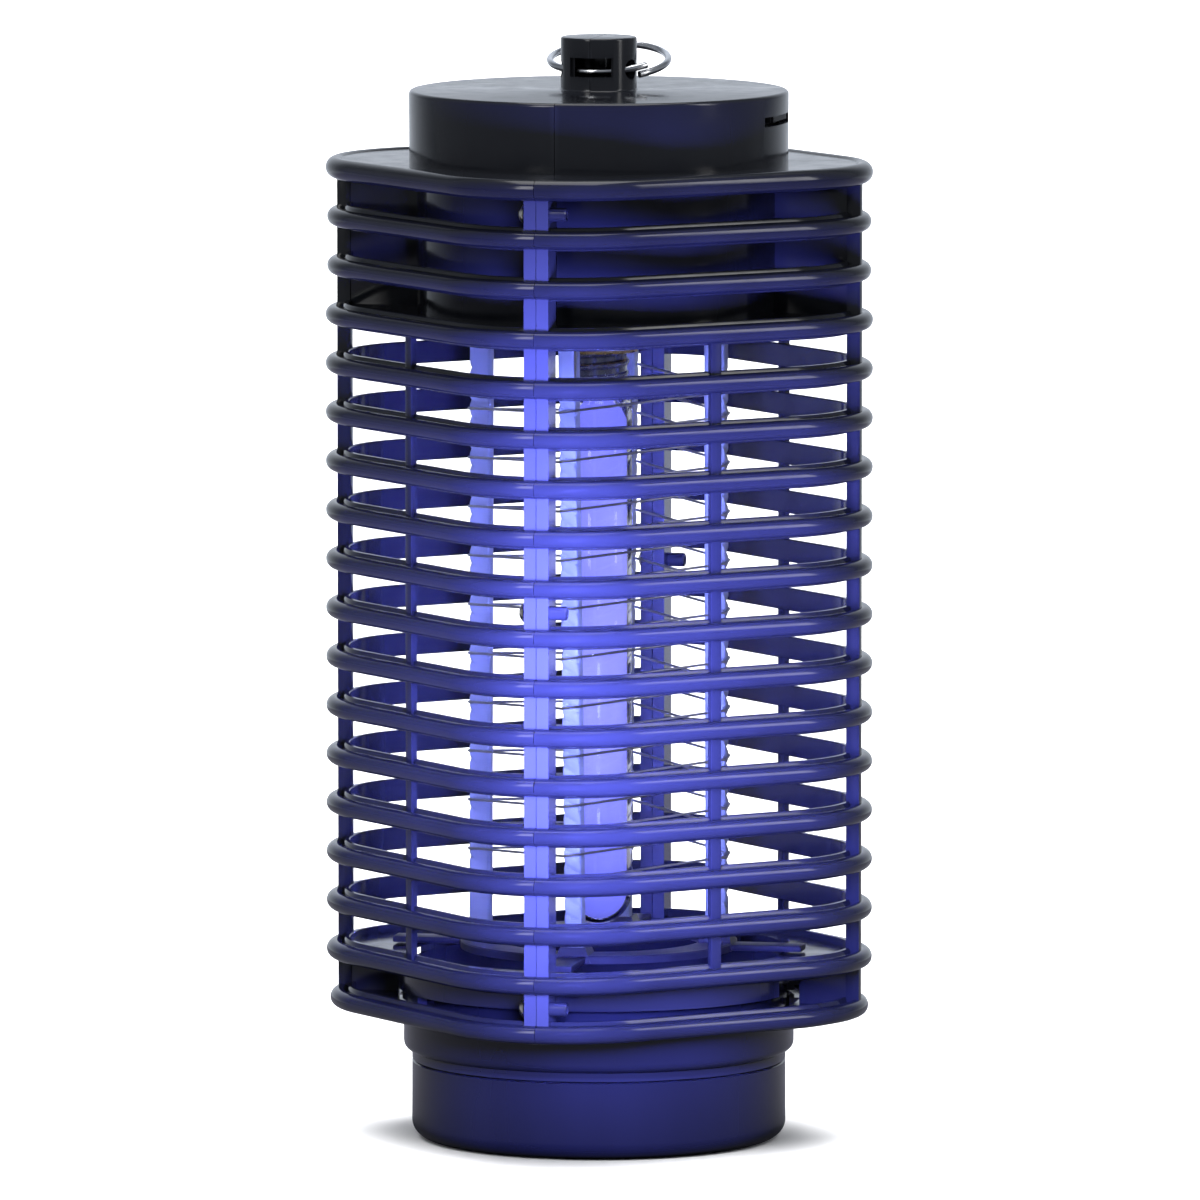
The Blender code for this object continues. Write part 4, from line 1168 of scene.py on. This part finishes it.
# ---------------------------------------------------------------- camera, floor and lights


def look_at(obj, spot, target):
    obj.location = spot
    obj.rotation_euler = (Vector(target) - Vector(spot)).to_track_quat("-Z", "Y").to_euler()


def camera():
    data = bpy.data.cameras.new("camera")
    data.sensor_width = 36.0
    data.lens = 36.0 * 3.55 / 0.2717
    data.clip_end = 50.0
    obj = bpy.data.objects.new("camera", data)
    bpy.context.collection.objects.link(obj)
    azimuth, pitch, distance = math.radians(13.4), math.radians(6.25), 3.55
    flat = distance * math.cos(pitch)
    right = Vector((math.cos(azimuth), math.sin(azimuth), 0))
    target = Vector((0, 0, 0.1221)) + 0.00027 * right
    away = Vector((math.sin(azimuth) * flat, -math.cos(azimuth) * flat, distance * math.sin(pitch)))
    look_at(obj, target + away, target)
    bpy.context.scene.camera = obj


def area_light(name, spot, target, size, power, colour=(1.0, 1.0, 1.0), shape="RECTANGLE", tall=None):
    data = bpy.data.lights.new(name, "AREA")
    data.energy = power
    data.color = colour
    data.shape = shape
    data.size = size
    if tall:
        data.size_y = tall
    obj = bpy.data.objects.new(name, data)
    bpy.context.collection.objects.link(obj)
    look_at(obj, spot, target)
    return obj


def glow_light(name, spot, power, radius, colour=(0.25, 0.22, 1.0)):
    data = bpy.data.lights.new(name, "POINT")
    data.energy = power
    data.color = colour
    data.shadow_soft_size = radius
    obj = bpy.data.objects.new(name, data)
    bpy.context.collection.objects.link(obj)
    obj.location = spot
    return obj


def floor():
    """A pale sweep. It is dimmer to light and reflections than it looks, so black plastic stays black."""
    made = Nodes("studio_floor")
    tree, output = made.tree, made.tree.nodes["Material Output"]
    cloud = made.noise(3.0, 2.0)
    seen = made.finish(
        Base_Color=made.between(made.span(cloud, 0.0, 1.0), (0.90, 0.90, 0.91), (0.93, 0.93, 0.94)),
        Roughness=made.span(cloud, 0.7, 0.8),
        Specular_IOR_Level=0.0,
    )
    depth = made.add("ShaderNodeSeparateXYZ", Vector=made.coords).outputs["Y"]
    dim = made.between(made.span(depth, 0.0, 1.0, 0.5, 1.0), (0.10, 0.10, 0.12), (0.27, 0.29, 0.32))
    unseen = tree.nodes.new("ShaderNodeBsdfDiffuse")
    tree.links.new(dim, unseen.inputs["Color"])
    rays = tree.nodes.new("ShaderNodeLightPath")
    mix = tree.nodes.new("ShaderNodeMixShader")
    tree.links.new(rays.outputs["Is Camera Ray"], mix.inputs[0])
    tree.links.new(unseen.outputs[0], mix.inputs[1])
    tree.links.new(made.shader.outputs[0], mix.inputs[2])
    tree.links.new(mix.outputs[0], output.inputs["Surface"])
    bm = bmesh.new()
    rows, width = [], 3.0
    curve = [
        (1.2 + 0.8 * math.sin(step * math.pi / 24), 0.8 - 0.8 * math.cos(step * math.pi / 24))
        for step in range(1, 13)
    ]
    for y, z in [(-3.0, 0.0), (1.2, 0.0), *curve, (2.0, 3.0)]:
        rows.append([bm.verts.new((x * width, y, z - 0.0002)) for x in (-1, 1)])
    for lower, upper in zip(rows, rows[1:]):
        bm.faces.new((lower[0], lower[1], upper[1], upper[0]))
    obj = to_object("studio_sweep", bm, seen)
    obj.rotation_euler.z = math.radians(13.4)
    obj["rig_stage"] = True


def world():
    """White behind the object, and a dimmer soft surround for light and reflections."""
    made = bpy.data.worlds.new("studio")
    made.use_nodes = True
    tree = made.node_tree
    output = tree.nodes["World Output"]
    surround = tree.nodes["Background"]
    surround.inputs["Color"].default_value = (0.84, 0.90, 1.0, 1.0)
    surround.inputs["Strength"].default_value = 0.27
    behind = tree.nodes.new("ShaderNodeBackground")
    behind.inputs["Color"].default_value = (1.0, 1.0, 1.0, 1.0)
    rays = tree.nodes.new("ShaderNodeLightPath")
    mix = tree.nodes.new("ShaderNodeMixShader")
    tree.links.new(rays.outputs["Is Camera Ray"], mix.inputs[0])
    tree.links.new(surround.outputs[0], mix.inputs[1])
    tree.links.new(behind.outputs[0], mix.inputs[2])
    tree.links.new(mix.outputs[0], output.inputs["Surface"])
    bpy.context.scene.world = made
    bpy.context.scene.view_settings.view_transform = "Standard"


DARK = (BLACK, TRAY_BLACK, KNOB_BLACK, FRAME_BLACK)
VIOLET = (0.165, 0.18, 1.0)
PALE_VIOLET = (0.26, 0.31, 1.0)
HALO_REACH = 0.17
HALO_HEIGHT = 0.112
HALO_SPREAD = math.radians(80)
HALO_POWER = 1.7
RIM_POWER = 0.32
CORE_POWER = 5.0
INSIDE_POWER = 0.5


def link_to(lights, pieces, name):
    """These lights fall on these pieces only."""
    group = bpy.data.collections.new(name)
    for piece in pieces:
        group.objects.link(piece)
    for light in lights:
        light.light_linking.receiver_collection = group


def lights():
    azimuth = math.radians(13.4)
    right = Vector((math.cos(azimuth), math.sin(azimuth), 0))
    front = Vector((math.sin(azimuth), -math.cos(azimuth), 0))
    middle = Vector((0, 0, 0.13))

    def spot(across, forward, height):
        return right * across + front * forward + Vector((0, 0, height))

    area_light("key", spot(-0.9, 1.2, 1.0), middle, 0.3, 5, tall=0.9)
    area_light("fill", spot(1.3, 0.5, 0.8), middle, 0.25, 3.5, tall=0.9)
    area_light("overhead", spot(0.0, 0.0, 1.6), middle, 1.2, 14, tall=1.2)
    floor_wash = area_light("floor_wash", spot(0.0, 0.6, 1.8), (0, 0, 0), 2.0, 75, tall=2.0)
    backdrop = area_light("backdrop", spot(0.0, -0.7, 1.7), spot(0, -1.7, 0.3), 2.2, 60, tall=0.6)

    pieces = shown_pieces()
    dark = [piece for piece in pieces if piece.active_material in DARK]
    pale = [piece for piece in pieces if piece.active_material not in DARK]
    stage_only = [obj for obj in bpy.context.scene.objects if obj.get("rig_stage")]
    link_to([floor_wash, backdrop], stage_only, "floor_only")

    halo, core, inside, rim = [], [], [], []
    for index, side in enumerate((-1, 1)):
        where = spot(0.0, side * HALO_REACH, HALO_HEIGHT)
        aim = Vector((0, 0, HALO_HEIGHT))
        halo.append(area_light(f"halo_{index}", where, aim, 0.03, HALO_POWER, VIOLET, tall=0.12))
        rim.append(area_light(f"rim_{index}", where, aim, 0.03, RIM_POWER, PALE_VIOLET, tall=0.12))
    for index in range(4):
        height = (0, 0, 0.085 + 0.025 * index)
        core.append(glow_light(f"core_{index}", height, CORE_POWER, 0.008, VIOLET))
        inside.append(glow_light(f"inside_{index}", height, INSIDE_POWER, 0.008, PALE_VIOLET))
    for light in halo + core + rim:
        light.visible_glossy = False
    for light in halo + rim:
        light.data.spread = HALO_SPREAD
    link_to(halo + core, dark, "dark_pieces")
    link_to(inside + rim, pale, "pale_pieces")


cage()
screws()
hanger()
grid()
lamp()
socket()
switch()
tray()
dress_nodes()
floor()
world()
camera()
lights()
